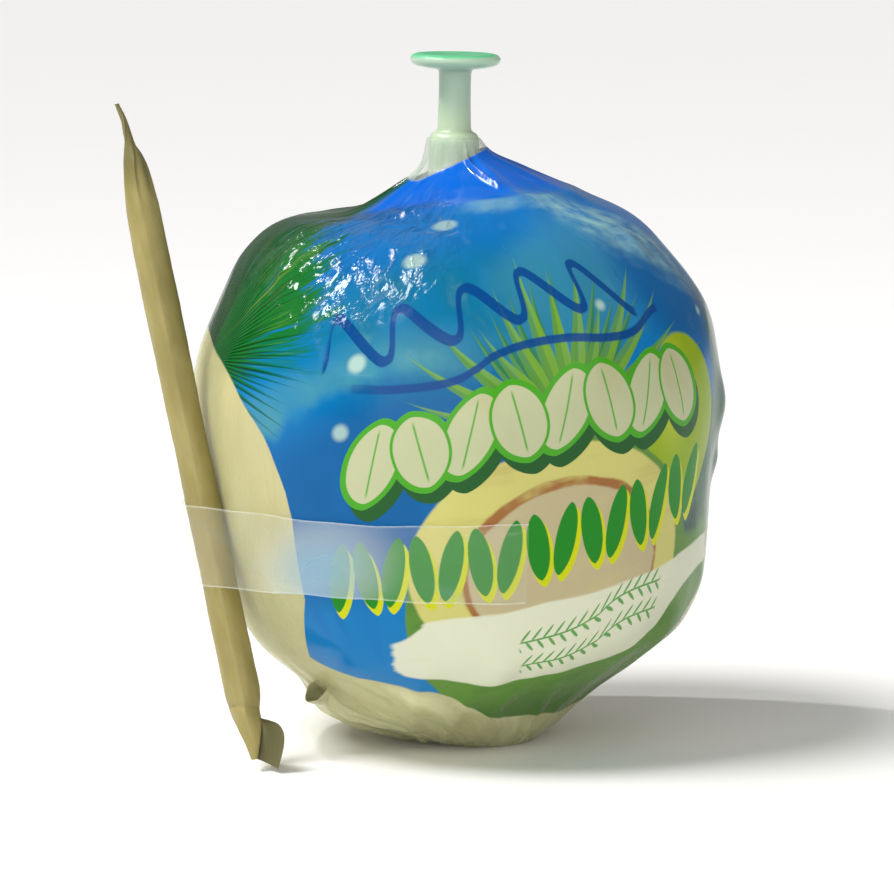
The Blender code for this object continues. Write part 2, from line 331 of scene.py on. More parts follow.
class Pattern:
    """Builds masks and paint in millimetres over one place vector of a material."""

    bluntness: float = 2.2

    def __init__(self, tree: bpy.types.NodeTree, place: bpy.types.NodeSocket) -> None:
        """Keep the vector, and its three parts as across, up and deep."""
        self.tree = tree
        self.place = place
        parts = add_node(tree, "ShaderNodeSeparateXYZ", {0: place})
        self.across, self.up, self.deep = (Field(tree, parts.outputs[i]) for i in range(3))

    @classmethod
    def on_chart(cls, tree: bpy.types.NodeTree) -> Pattern:
        """Follow the piece's own flat chart."""
        return cls(tree, add_node(tree, "ShaderNodeUVMap", uv_map="chart").outputs[0])

    @classmethod
    def on_object(cls, tree: bpy.types.NodeTree) -> Pattern:
        """Follow the object's own axes, in millimetres."""
        axes = add_node(tree, "ShaderNodeTexCoord").outputs["Object"]
        scaled = add_node(tree, "ShaderNodeMapping", {"Vector": axes, "Scale": (1000.0, 1000.0, 1000.0)})
        return cls(tree, scaled.outputs[0])

    def moved(self, across: Value, up: Value, deep: Value = 0.0) -> Pattern:
        """Give the pattern of a new place made of three values."""
        joined = add_node(self.tree, "ShaderNodeCombineXYZ", {0: across, 1: up, 2: deep})
        return Pattern(self.tree, joined.outputs[0])

    def local(self, centre: tuple[float, float], half: tuple[float, float],
              turn: float = 0.0) -> bpy.types.NodeSocket:
        """Measure from a centre in half sizes, after a turn in degrees."""
        inputs = {"Vector": self.place, "Location": (*centre, 0.0),
                  "Rotation": (0.0, 0.0, math.radians(turn)), "Scale": (*half, 1.0)}
        return add_node(self.tree, "ShaderNodeMapping", inputs, vector_type="TEXTURE").outputs[0]

    def oval(self, centre: tuple[float, float], half: tuple[float, float], turn: float = 0.0,
             soft: float = 0.6, rough: Field | None = None) -> Field:
        """Mask an ellipse.

        Args:
            centre: Its middle, in mm.
            half: Its half sizes, in mm.
            turn: Its turn, in degrees.
            soft: Width of its soft edge, in mm.
            rough: A wobble of its edge, as a share of its size.

        Returns:
            1 inside and 0 outside.
        """
        place = self.local(centre, half, turn)
        flat = add_node(self.tree, "ShaderNodeVectorMath", {0: place, 1: (1.0, 1.0, 0.0)},
                        operation="MULTIPLY")
        length = add_node(self.tree, "ShaderNodeVectorMath", {0: flat.outputs[0]}, operation="LENGTH")
        reach = Field(self.tree, length.outputs["Value"])
        if rough is not None:
            reach = reach + rough
        edge = soft / min(half) / 2
        return reach.step(1 + edge, 1 - edge)

    def grain(self, pitch: float, stretch: tuple[float, float, float] = (1.0, 1.0, 1.0), turn: float = 0.0,
              detail: float = 3.0, seed: float = 0.0) -> Field:
        """Give noise about 0.

        Args:
            pitch: Size of its blots, in mm.
            stretch: How much longer the blots are along each axis.
            turn: Its turn, in degrees.
            detail: Octaves.
            seed: Moves it.

        Returns:
            Values from about -1 to 1.
        """
        inputs = {"Vector": self.place, "Location": (seed, seed * 1.7, seed * 0.3),
                  "Rotation": (0.0, 0.0, math.radians(turn)),
                  "Scale": tuple(pitch * part for part in stretch)}
        place = add_node(self.tree, "ShaderNodeMapping", inputs, vector_type="TEXTURE").outputs[0]
        node = add_node(self.tree, "ShaderNodeTexNoise", {"Vector": place, "Scale": 1.0, "Detail": detail})
        return (Field(self.tree, node.outputs[0]) - 0.5) * 3.0

    def level(self, points: Sequence[tuple[float, float]]) -> Field:
        """Read the height of a smooth line over the whole width.

        Args:
            points: The points that the line passes, from left to right, in mm.

        Returns:
            The line's height, in mm.
        """
        low, high = points[0][0], points[-1][0]
        heights = [point[1] for point in points]
        base, span = min(heights), max(max(heights) - min(heights), 1e-3)
        share = (self.across - low) / (high - low)
        node = add_node(self.tree, "ShaderNodeFloatCurve", {"Factor": 1.0, "Value": share})
        curve = node.mapping.curves[0]
        for i, (across, up) in enumerate(points):
            x, y = (across - low) / (high - low), (up - base) / span
            if i in (0, len(points) - 1):
                curve.points[0 if i == 0 else len(curve.points) - 1].location = (x, y)
            else:
                curve.points.new(x, y)
        node.mapping.update()
        return Field(self.tree, node.outputs[0]) * span + base

    def between(self, low: float, high: float, soft: float = 1.0) -> Field:
        """Mask a stretch of the width."""
        return self.across.step(low - soft, low + soft) * self.across.step(high + soft, high - soft)

    def fan(self, centre: tuple[float, float], blades: int, reach: float, width: float, first: float,
            last: float, bend: float = 0.0, seed: float = 0.0) -> tuple[Field, Field]:
        """Mask pointed blades that spread from a centre.

        Args:
            centre: Where they spring from, in mm.
            blades: How many a full circle would hold.
            reach: Their greatest length, in mm.
            width: Their half width, in mm.
            first: Direction of the first blade, in degrees.
            last: Direction of the last blade, in degrees.
            bend: How far they lean over, in radians at full reach.
            seed: Changes their lengths.

        Returns:
            The mask, and the place across each blade from 0 to 1.
        """
        dx, dy = self.across - centre[0], self.up - centre[1]
        radius = (dx * dx + dy * dy) ** 0.5
        angle = dy.worked("ARCTAN2", dx) + radius * (bend / reach)
        turns = angle * (blades / math.tau)
        number = turns.worked("FLOOR")
        long = number.worked("MULTIPLY_ADD", 12.9898, seed).worked("SINE") * 43758.5
        own = long.cell() * 0.35 + 0.65
        share = radius / reach / own
        offset = (turns.cell() - 0.5).size() * radius * (math.tau / blades)
        room = share.step(1.02, 0.25) * radius.step(0.0, 8.0) * width
        mask = (room - offset).step(0.0, 0.35)
        sector = angle.step(math.radians(first) - 0.03, math.radians(first) + 0.03)
        sector = sector * angle.step(math.radians(last) + 0.03, math.radians(last) - 0.03)
        return mask * sector, turns.cell()

    def garland(self, line: Field, pitch: float, half: tuple[float, float], lean: float, start: float,
                offset: tuple[float, float] = (0.0, 0.0), grow: float = 0.0) -> tuple[Field, Field]:
        """Mask a row of pointed leaves along a line.

        Args:
            line: The line's height.
            pitch: Distance from leaf to leaf, in mm.
            half: Half width and half length of a leaf, in mm.
            lean: How far a leaf leans for each mm of height.
            start: Where the row's first gap falls, in mm.
            offset: Moves the row, in mm.
            grow: Widens the leaves all round, in mm.

        Returns:
            The leaves, and their middle veins.
        """
        rise = self.up - line - offset[1]
        along = (self.across - start - offset[0]) + rise * (-lean)
        aside = ((along / pitch).cell() - 0.5) * pitch
        tip = (rise / (half[1] + grow)).size().least(1.0)
        room = (((tip ** self.bluntness) * -1.0 + 1.0) ** 0.6) * (half[0] + grow)
        mask = (room - aside.size()).step(0.0, 0.3)
        vein = aside.size().step(0.38, 0.12) * tip.step(0.92, 0.7)
        return mask, vein

    def paint(self, under: Value, mask: Field, colour: Value) -> bpy.types.NodeSocket:
        """Lay a colour, or another painted layer, over what is under it.

        Args:
            under: The colour or layer underneath.
            mask: Where to paint: 1 covers, 0 leaves what is under.
            colour: The colour or layer on top.

        Returns:
            The painted layer.
        """
        ink = to_linear(colour) if isinstance(colour, str) else colour
        base = to_linear(under) if isinstance(under, str) else under
        node = add_node(self.tree, "ShaderNodeMix", {0: mask, 6: base, 7: ink}, data_type="RGBA")
        return node.outputs[2]


class Finish:
    """A material under making: one Principled shader, and a bump of its own."""

    def __init__(self, name: str) -> None:
        """Start an empty material."""
        self.material = bpy.data.materials.new(name)
        self.material.use_nodes = True
        self.tree = self.material.node_tree
        self.tree.nodes.clear()
        self.output = add_node(self.tree, "ShaderNodeOutputMaterial")

    def done(self, shader: dict[str, Value], relief: Field | None = None, height: float = 0.1 * MM,
             strength: float = 1.0) -> bpy.types.Material:
        """Close the material.

        Args:
            shader: The Principled shader's inputs.
            relief: Height of the fine surface, about 0 to 1.
            height: What one unit of relief stands for, in metres.
            strength: How strongly the relief shows.

        Returns:
            The material.
        """
        inputs = dict(shader)
        if relief is not None:
            bump = add_node(self.tree, "ShaderNodeBump",
                            {"Height": relief, "Distance": height, "Strength": strength})
            inputs["Normal"] = bump.outputs[0]
            if "Coat Weight" in inputs:
                inputs["Coat Normal"] = bump.outputs[0]
        surface = add_node(self.tree, "ShaderNodeBsdfPrincipled", inputs)
        self.tree.links.new(surface.outputs[0], self.output.inputs["Surface"])
        return self.material


# ---------------------------------------------------------------- the shared body


@dataclass(frozen=True)
class CoconutForm:
    """The rounded, faintly nine-sided body that the husk and the film share. Stations are in mm."""

    core_x: float = -5.75
    facets: int = 9
    facet_depth: float = 0.9
    half_turn_below: float = 60.0
    wrapped: tuple[Station, ...] = (
        ((13.5, 0.0), (-12.5, 0.0), (13.0, 0.0)),
        ((17.8, 3.0), (-24.5, 2.4), (20.5, 2.8)),
        ((31.5, 15.3), (-41.5, 8.2), (36.0, 12.8)),
        ((41.5, 22.8), (-46.0, 15.5), (46.0, 20.5)),
        ((50.3, 30.0), (-57.5, 26.0), (54.5, 29.0)),
        ((55.5, 42.5), (-67.0, 45.0), (60.5, 44.0)),
        ((57.5, 66.0), (-71.5, 72.0), (63.0, 68.0)),
        ((59.3, 93.0), (-72.0, 92.0), (63.5, 92.0)),
        ((56.3, 110.3), (-66.0, 109.5), (58.5, 110.0)),
        ((47.3, 123.0), (-59.0, 123.6), (50.0, 122.8)),
    )
    tent: tuple[Station, ...] = (
        ((38.5, 131.3), (-49.5, 130.8), (40.5, 129.8)),
        ((24.0, 138.0), (-34.0, 132.2), (27.5, 135.6)),
        ((9.5, 143.8), (-21.8, 138.2), (15.5, 141.0)),
        ((2.4, 147.6), (-15.8, 143.6), (8.4, 145.8)),
        ((-0.4, 151.0), (-14.0, 151.0), (6.8, 151.0)),
    )
    crown: tuple[Station, ...] = (
        ((37.5, 130.0), (-48.5, 129.8), (39.5, 128.6)),
        ((20.0, 133.2), (-32.0, 131.2), (22.0, 132.0)),
        ((2.5, 134.0), (-18.0, 134.0), (9.5, 134.0)),
    )

    def rows(self, stations: Sequence[Station], count: int) -> np.ndarray:
        """Read the three profiles at evenly spaced rows.

        Args:
            stations: What the profiles pass, each as (right, left, side) of (x or y, height).
            count: How many rows to read.

        Returns:
            Rows of (right, left, side), each as its reach from the core and its height, in mm.
        """
        corners = np.array(stations)
        profiles = np.stack([smooth_curve(corners[:, i], 24) for i in range(3)], axis=1)
        profiles[:, 0, 0] -= self.core_x
        profiles[:, 1, 0] = self.core_x - profiles[:, 1, 0]
        pace = np.linalg.norm(np.diff(profiles, axis=0), axis=2).mean(axis=1)
        way = np.concatenate([[0.0], np.cumsum(pace)])
        at = np.linspace(0.0, way[-1], count)
        flat = profiles.reshape(len(profiles), 6)
        return np.stack([np.interp(at, way, flat[:, i]) for i in range(6)], axis=1).reshape(-1, 3, 2)

    def facet(self, angle: np.ndarray, height: np.ndarray) -> np.ndarray:
        """Work out how far the trimmed sides lie in from the round.

        Args:
            angle: Directions from the core, in radians.
            height: Heights, in mm.

        Returns:
            The distance, in mm.
        """
        step = math.tau / self.facets
        turn = np.where(height < self.half_turn_below, step / 2, 0.0)
        offset = (angle + turn + step / 2) % step - step / 2
        flat = 1 - math.cos(step / 2) / np.cos(offset)
        deep = np.clip((np.abs(height - 72.0) - 18.0) / 25.0, 0, 1)
        fade = np.clip((138.0 - height) / 12.0, 0, 1) * np.clip(height / 8.0, 0, 1)
        return self.facet_depth * deep * fade * flat / (1 - math.cos(step / 2))

    def ring(self, rows: np.ndarray, angle: np.ndarray) -> np.ndarray:
        """Place points round the core: rows of columns of x, y, z in mm."""
        right, left, side = (rows[:, i, None, :] for i in range(3))
        a = angle[None, :, None]
        mean, sway = (right + left) / 2, (right - left) / 2
        mixed = 0.5 * (mean + side) + sway * np.cos(a) + 0.5 * (mean - side) * np.cos(2 * a)
        reach, height = mixed[..., 0], mixed[..., 1]
        reach = reach - self.facet(angle[None, :], height)
        return np.stack([self.core_x + reach * np.cos(angle), reach * np.sin(angle), height], axis=2)

    def surface(self, stations: Sequence[Station], rows: int, columns: int, first: float) -> np.ndarray:
        """Place a grid of a loft that closes round, so that its last column repeats its first.

        Args:
            stations: What the loft passes, in mm.
            rows: Rows of the grid, from the foot up.
            columns: Faces round the girth.
            first: Direction of the first column, in radians.

        Returns:
            Rows of columns of x, y, z, in metres.
        """
        angle = first + np.linspace(0.0, math.tau, columns + 1)
        return self.ring(self.rows(stations, rows), angle) * MM


# ---------------------------------------------------------------- husk


@dataclass(frozen=True)
class TrimmedHusk:
    """Freshly trimmed coconut husk: matt, damp, off-white fibre with long shallow knife streaks."""

    pale: str = "#C9BE8E"
    straw: str = "#B0A064"
    olive: str = "#86824A"
    bruise: str = "#9A7E50"

    def material(self) -> bpy.types.Material:
        """Make the material."""
        finish = Finish("trimmed_coconut_husk")
        fibre = Pattern.on_object(finish.tree)
        broad = fibre.grain(26.0, (1.0, 1.0, 2.4), detail=3.0)
        streak = fibre.grain(2.6, (1.0, 1.0, 16.0), detail=4.0, seed=31.0)
        fine = fibre.grain(0.7, (1.0, 1.0, 9.0), detail=3.0, seed=7.0)
        colour = fibre.paint(self.straw, broad.step(-0.7, 0.5), self.pale)
        colour = fibre.paint(colour, streak.step(0.15, 0.9) * 0.55, self.straw)
        colour = fibre.paint(colour, fibre.grain(15.0, seed=55.0).step(0.45, 0.95) * 0.4, self.olive)
        colour = fibre.paint(colour, fine.step(0.5, 1.2) * 0.35, self.bruise)
        relief = streak * 0.6 + fine * 0.4
        rough = broad.step(-1.0, 1.0, (0.62, 0.5))
        return finish.done({"Base Color": colour, "Roughness": rough, "IOR": 1.45, "Subsurface Weight": 0.08,
                            "Subsurface Radius": (0.004, 0.003, 0.0015), "Subsurface Scale": 1.0},
                           relief, 0.25 * MM)


@dataclass
class Husk:
    """The trimmed coconut, drilled from the crown for the opener. Sizes in mm."""

    form: CoconutForm
    inset: float = 0.6
    hole_x: float = -7.2
    hole_radius: float = 6.5
    hole_low: float = 112.0
    rows: int = 190
    columns: int = 240
    hole_rows: int = 12
    groove: float = 0.22
    girth: float = 389.0
    climb: float = 230.0

    def build(self) -> bpy.types.Object:
        """Build and dress the husk."""
        outer = self.form.surface(self.form.wrapped + self.form.crown, self.rows, self.columns, math.pi)
        normal = normals_of(outer)
        skin = outer - normal * self.inset * MM
        skin[0, :, 2] = self.inset * MM
        grooves = np.abs(noise_over(skin * (1.0, 1.0, 0.18), 5.0 * MM, 3.0))
        dents = noise_over(skin, 30.0 * MM, 9.0).clip(0, 1)
        sunk = (grooves.clip(0, 1) * 0.5 + dents * 0.5) * self.groove
        sunk *= ease(self.inset * MM, 6 * MM, skin[..., 2])
        skin = skin - normal * sunk[..., None] * MM
        angle = math.pi + np.linspace(0.0, math.tau, self.columns + 1)
        round_x, round_y = np.cos(angle), np.sin(angle)
        heights = np.linspace(skin[-1, 0, 2] / MM, self.hole_low, self.hole_rows)
        well = [np.stack([self.hole_x + self.hole_radius * round_x, self.hole_radius * round_y,
                          np.full_like(angle, z)], axis=1) * MM for z in heights]
        floor = np.array([[[self.hole_x, 0.0, self.hole_low]]]) * MM + np.zeros((1, len(angle), 3))
        pole = np.array([[[0.0, 0.0, self.inset]]]) * MM + np.zeros((1, len(angle), 3))
        places = np.concatenate([pole, skin, np.stack(well), floor])
        chart = np.zeros((*places.shape[:2], 2))
        chart[..., 0] = np.linspace(0.0, self.girth, self.columns + 1)
        chart[..., 1] = np.linspace(0.0, self.climb, len(places))[:, None]
        piece = rolled_sheet("husk", places, chart)
        return finish_piece(piece, [TrimmedHusk().material()], "coconut")


# ---------------------------------------------------------------- film


@dataclass(frozen=True)
class PrintEdge:
    """Where the print ends on the film: a lower edge on the chart, and a slanting cut at the neck. In mm.

    Near the foot the film is drawn in, so the lower edge leans: it moves by slant for each mm below
    slant_top, over slant_fall at most. The cut at the neck rises by neck_slope, from neck_low.
    """

    line: Line = (
        (-150, 136), (-98, 136), (-81, 133), (-54, 115), (-46, 102), (-42.4, 92), (-41.6, 70), (-41.0, 53),
        (-17, 43.5), (4, 35.4), (26, 21), (53, 17), (82, 16), (86.6, 42), (87.5, 64), (94, 76),
        (125, 78), (170, 66), (200, 75), (215, 110), (222, 134), (250, 136),
    )
    slant_top: float = 70.0
    slant_fall: float = 18.0
    slant: float = 0.43
    neck_slope: float = 0.45
    neck_height: float = 148.2
    neck_low: float = 141.0
    neck_clear: float = 136.0
    margin: float = 6.0
    reach: tuple[float, ...] = (-8.0, -4.0, 0.0, 4.0, 8.0)

    def highest(self, across: np.ndarray, up: np.ndarray) -> np.ndarray:
        """Find the lower edge's highest point within reach of places on the chart.

        Args:
            across: Their way round the girth.
            up: Their way up from the base.

        Returns:
            The height for each place.
        """
        line = np.array(self.line, dtype=float)
        drawn = across + np.clip(self.slant_top - up, 0, self.slant_fall) * self.slant
        return np.max([np.interp(drawn + way, line[:, 0], line[:, 1]) for way in self.reach], axis=0)


@dataclass(frozen=True)
class PictureInks:
    """Gravure inks on the film: clean, saturated greens and blues and a dull cream."""

    deep: str = "#005088"
    sea: str = "#006EAA"
    sky: str = "#0062A4"
    crown: str = "#005AC0"
    haze: str = "#3F8494"
    shoal: str = "#08647F"
    cloud: str = "#86B0AC"
    night: str = "#001A30"
    palm_dark: str = "#003410"
    palm_shade: str = "#066420"
    palm_gold: str = "#6F9630"
    leaf: str = "#6E9A28"
    leaf_shade: str = "#2F7030"
    lime: str = "#87A006"
    lime_light: str = "#A8B533"
    rind: str = "#BDB86A"
    rind_shade: str = "#A09152"
    shell: str = "#916031"
    meat: str = "#AFA37E"
    panel: str = "#CCCEB6"
    grass: str = "#55802F"
    grass_shade: str = "#335B25"
    cream: str = "#B0B48E"
    cream_edge: str = "#439621"
    drop: str = "#1D5223"
    green: str = "#157B17"
    yellow: str = "#BCC100"
    brush: str = "#003C7A"
    spot: str = "#9FBAB0"
    sprig: str = "#438B34"


class TropicPicture(Pattern):
    """The generic picture on the film: sea and sky, palms, whole and cut coconuts, leaf garlands."""

    repeat: float = 150.0
    repeat_from: float = 108.0
    edge: PrintEdge = PrintEdge()
    bank_line: Line = ((-150, 96), (-70, 104), (-52, 112), (-38, 118), (-15, 124), (20, 124), (250, 120))
    # The painted highlight along the lip of the film's fold above the shoulder follows this line.
    painted_highlight_line: Line = ((-150, 178), (-42, 180), (0, 177), (65, 172), (250, 174))
    dark_root: tuple[float, float] = (-80.0, 130.0)
    light_root: tuple[float, float] = (28.0, 106.0)
    panel_top: Line = ((-150, 58), (-20, 57), (-7, 63), (10, 63.7), (36, 66), (60, 70), (83, 73), (250, 73))
    panel_low: Line = ((-150, 45), (-18, 45.5), (12, 41), (44, 44.3), (59, 52), (84, 66), (250, 70))
    upper_sprig: Line = ((-150, 55), (14, 55.0), (36, 59.0), (57, 66.0), (250, 66))
    lower_sprig: Line = ((-150, 47), (17, 47.5), (38, 51.5), (58, 59.0), (250, 59))
    cream_line: Line = ((-150, 101), (-28, 102.5), (0, 108), (34, 112.5), (66, 113.5), (250, 114))
    green_line: Line = ((-150, 75), (-36, 75.5), (0, 77), (22, 79.8), (52, 85.0), (70, 89), (250, 90))
    wave_line: Line = ((-150, 133), (-34, 133), (0, 138), (30, 142), (56, 139), (250, 139))
    curl_line: Line = ((-150, 128), (-26, 121.5), (-12, 120.5), (4, 124), (22, 129), (42, 127.5),
                       (58, 133), (250, 134))
    wave_pitch: float = 17.0

    @classmethod
    def on_film(cls, tree: bpy.types.NodeTree) -> TropicPicture:
        """Start on the film's chart, with the picture printed twice round."""
        whole = Pattern.on_chart(tree)
        second = whole.across.worked("GREATER_THAN", cls.repeat_from)
        picture = cls(tree, whole.moved(whole.across - second * cls.repeat, whole.up).place)
        picture.whole = whole
        picture.inks = PictureInks()
        return picture

    def sea_and_sky(self) -> bpy.types.NodeSocket:
        """Paint the blue ground, its haze, its shoals and its clouds, and a painted highlight and painted
        shade along the film's fold above the shoulder.
        """
        ink = self.inks
        blot = self.grain(34.0, (1.6, 1.0, 1.0), 12.0, 4.0)
        wash = self.grain(16.0, (2.2, 1.0, 1.0), -16.0, 5.0, 40.0)
        dab = self.grain(7.0, (1.0, 1.6, 1.0), 24.0, 4.0, 91.0)
        depth = self.oval((-12.0, 100.0), (48.0, 24.0), 14.0, 18.0, blot * 0.3)
        colour = self.paint(ink.sea, depth * 0.85, ink.deep)
        rays = self.grain(8.0, (1.0, 5.0, 1.0), 14.0, 3.0, 12.0)
        colour = self.paint(colour, rays.step(0.0, 0.8) * self.up.step(112.0, 92.0) * 0.6, ink.sky)
        colour = self.paint(colour, rays.step(-0.2, -0.9) * self.up.step(112.0, 92.0) * 0.5, ink.deep)
        colour = self.paint(colour, (self.up + blot * 10.0 + dab * 3.0).step(132.0, 158.0) * 0.9, ink.sky)
        shoal = self.oval((2.0, 139.0), (46.0, 18.0), 6.0, 16.0, blot * 0.3 + dab * 0.12)
        colour = self.paint(colour, shoal * (dab * 0.3 + 0.72), ink.shoal)
        haze = self.oval((33.0, 143.0), (20.0, 24.0), -30.0, 16.0, wash * 0.4 + dab * 0.15)
        colour = self.paint(colour, haze * 0.45, ink.haze)
        dusk = self.oval((70.0, 139.0), (17.0, 20.0), 20.0, 14.0, wash * 0.35)
        colour = self.paint(colour, dusk * 0.85, ink.deep)
        feather = self.grain(5.0, (3.4, 1.0, 1.0), -42.0, 4.0, 33.0)
        drift = self.oval((64.0, 158.0), (27.0, 8.0), -40.0, 9.0, wash * 0.6 + feather * 0.5)
        mottle = self.grain(3.0, (1.6, 1.0, 1.0), -30.0, 5.0, 52.0)
        torn = (feather * 0.4 + mottle * 0.5 + 0.4).most(0.0).least(0.9)
        colour = self.paint(colour, drift * torn, ink.cloud)
        bank = self.level(self.bank_line)
        surf = self.up - bank + wash * 4.0 + dab * 1.6
        band = surf.step(-4.0, 1.5) * surf.step(14.0, 3.0) * self.across.step(14.0, -10.0)
        colour = self.paint(colour, band * (dab * 0.4 + 0.75).least(1.0), ink.haze)
        colour = self.paint(colour, (self.up + blot * 5.0 + dab * 2.0).step(172.0, 182.0) * 0.9, ink.crown)
        # Painted highlight in cloud ink along the lip of the film's fold above the shoulder.
        fold = self.grain(8.0, (4.0, 1.0, 1.0), 5.0, 4.0, 77.0)
        lane = self.level(self.painted_highlight_line)
        lip = self.up - lane + fold * 2.2
        pale = lip.step(-6.0, -1.0) * lip.step(4.0, 1.5) * self.between(0.0, 50.0, 14.0)
        colour = self.paint(colour, pale * (fold * 0.6 + 0.25).most(0.0).least(0.7), ink.cloud)
        # Painted shade in deep ink where the film's fold tucks under at the left of the ridge.
        painted_fold_shade = self.oval((-66.0, 180.0), (44.0, 5.5), 0.0, 5.0, fold * 0.4)
        painted_fold_shade = painted_fold_shade.most(self.across.step(-62.0, -84.0) * self.up.step(180.0, 186.0) * 0.8)
        colour = self.paint(colour, painted_fold_shade * 0.8, ink.deep)
        return self.paint(colour, dab.step(0.25, 1.1) * 0.22 * self.up.step(110.0, 130.0), ink.cloud)

    def dark_palm(self, under: bpy.types.NodeSocket) -> bpy.types.NodeSocket:
        """Paint the dark palm crown of the left shoulder, a mass of long narrow blades."""
        ink = self.inks
        dx, dy = self.across - self.dark_root[0], self.up - self.dark_root[1]
        radius = (dx * dx + dy * dy) ** 0.5
        angle = dy.worked("ARCTAN2", dx) - radius * 0.0022
        strand = self.moved(angle * 46.0, radius * 0.05).grain(1.0, detail=3.0)
        lock = self.moved(angle * 9.0, radius * 0.03).grain(1.0, detail=3.0, seed=5.0)
        bed = (lock * 10.0 + strand * 8.0 + angle * 9.0 + 42.0 - radius).step(-5.0, 8.0)
        bed = bed * (angle + strand * 0.05).step(-0.36, 0.15)
        gaps = (strand * 0.6 + lock * 0.7 + bed * 1.1).step(0.15, 0.8)
        shore = (self.across + strand * 3.0).step(-78.0, -90.0) * self.up.step(132.0, 142.0)
        over = self.up.step(168.0, 176.0) * (self.up + lock * 3.0).step(189.0, 183.0)
        over = over * (self.across + lock * 6.0).step(-66.0, -86.0)
        mass = (bed * gaps).most(shore).most(over)
        colour = self.paint(under, mass, ink.palm_shade)
        dim = (strand * 0.7 + lock * 0.5 + (angle - 0.85)).step(-0.2, 0.4).most(shore).most(over)
        colour = self.paint(colour, mass * dim * 0.9, ink.palm_dark)
        gold = strand.step(0.15, 0.8) * radius.step(54.0, 6.0) * bed * 0.75
        colour = self.paint(colour, gold, ink.palm_gold)
        rib = (angle - 0.66).size().step(0.05, 0.012) * radius.step(58.0, 12.0) * radius.step(2.0, 8.0)
        colour = self.paint(colour, rib * 0.6, ink.palm_gold)
        for first, last, blades, seed in ((-24.0, 24.0, 84, 3.0), (-14.0, 80.0, 110, 8.0)):
            mask, cell = self.fan((-80.0, 129.0), blades, 56.0, 0.8, first, last, 0.12, seed)
            tone = self.paint(ink.palm_dark, cell.step(0.4, 0.6), ink.palm_shade)
            colour = self.paint(colour, mask * 0.85, tone)
        return colour

    def light_palm(self, under: bpy.types.NodeSocket) -> bpy.types.NodeSocket:
        """Paint the light green palm fan behind the cream garland."""
        ink = self.inks
        colour = under
        for blades, reach, width, bend, seed, dark in ((36, 50.0, 1.9, 0.30, 2.0, True),
                                                       (30, 55.0, 2.3, 0.22, 6.0, False)):
            mask, cell = self.fan(self.light_root, blades, reach, width, -12.0, 192.0, bend, seed)
            lit = cell.step(0.45, 0.55)
            tone = (self.paint(ink.leaf_shade, lit * 0.45, ink.leaf) if dark
                    else self.paint(ink.leaf, lit * 0.5, ink.leaf_shade))
            colour = self.paint(colour, mask * 0.82, tone)
        return colour

    def fruit(self, under: bpy.types.NodeSocket) -> bpy.types.NodeSocket:
        """Paint the whole green coconut, the cut one with its white meat, and the brushed panel."""
        ink = self.inks
        wobble = self.grain(12.0, detail=4.0, seed=21.0)
        streak = self.grain(5.0, (7.0, 1.0, 1.0), 6.0, 4.0, 63.0)
        thicket = self.across.step(77.0, 84.0) * self.up.step(142.0, 120.0)
        thicket = thicket.most(self.across.step(63.0, 69.0) * self.up.step(114.0, 104.0))
        thicket = thicket * (self.grain(11.0, (1.0, 3.0, 1.0), 10.0, 3.0, 9.0) + 0.9).step(0.0, 0.6)
        colour = self.paint(under, thicket * 0.9, ink.grass_shade)
        colour = self.paint(colour, thicket * wobble.step(0.1, 0.6) * 0.7, ink.night)
        lime = self.oval((63.0, 104.0), (15.0, 22.0), 4.0, 0.8, wobble * 0.02)
        shine = self.oval((58.0, 112.0), (6.0, 12.0), 0.0, 8.0)
        colour = self.paint(colour, lime, self.paint(ink.lime, shine * 0.8, ink.lime_light))
        grass = self.oval((28.0, 61.5), (41.8, 43.6), 0.0, 0.8, wobble * 0.01)
        grass = grass.most(self.across.step(60.0, 66.0) * (self.up + wobble * 3.0).step(78.0, 74.0))
        grass = grass.most(self.across.step(28.0, 36.0) * self.up.step(48.0, 42.0))
        tone = self.paint(ink.grass, (streak * 0.5 + wobble * 0.6).step(0.0, 0.8) * 0.6, ink.grass_shade)
        tone = self.paint(tone, self.up.step(40.0, 22.0) * 0.55, ink.grass_shade)
        colour = self.paint(colour, grass, tone)
        ring = self.oval((25.0, 75.0), (37.5, 29.0), 0.0, 0.8, wobble * 0.012)
        rind = self.paint(ink.rind, (streak + wobble * 0.5).step(0.1, 0.9) * 0.45, ink.rind_shade)
        colour = self.paint(colour, ring, rind)
        shell = self.oval((27.0, 74.0), (27.0, 21.3), 0.0, 0.8, wobble * 0.035)
        colour = self.paint(colour, shell * (wobble + streak).step(-1.1, 0.0), ink.shell)
        meat = self.oval((27.5, 73.3), (25.6, 19.6), 0.0, 0.8, wobble * 0.03)
        flesh = self.paint(ink.meat, (wobble * 0.7 + streak * 0.5).step(0.0, 0.9) * 0.5, ink.rind)
        colour = self.paint(colour, meat, flesh)
        top = self.level(self.panel_top)
        low = self.level(self.panel_low)
        bristle = self.grain(2.2, (14.0, 1.0, 1.0), 4.0, 3.0, 14.0)
        torn = streak * 1.6 + bristle * 0.5
        tip = (self.up - 52.0) * (self.up - 52.0) * -0.07
        ends = (self.across + tip + streak * 2.0 + bristle * 1.4).step(-20.5, -18.5)
        ends = ends * (self.across + streak * 2.0).step(86.0, 82.0)
        brushed = (top - self.up + torn).step(-0.3, 0.8) * (self.up - low + torn * 0.5).step(-0.3, 0.6) * ends
        chalk = self.paint(ink.panel, (bristle * 0.6 + wobble * 0.5).step(0.1, 1.1) * 0.35, ink.rind)
        return self.paint(colour, brushed * 0.97, chalk)

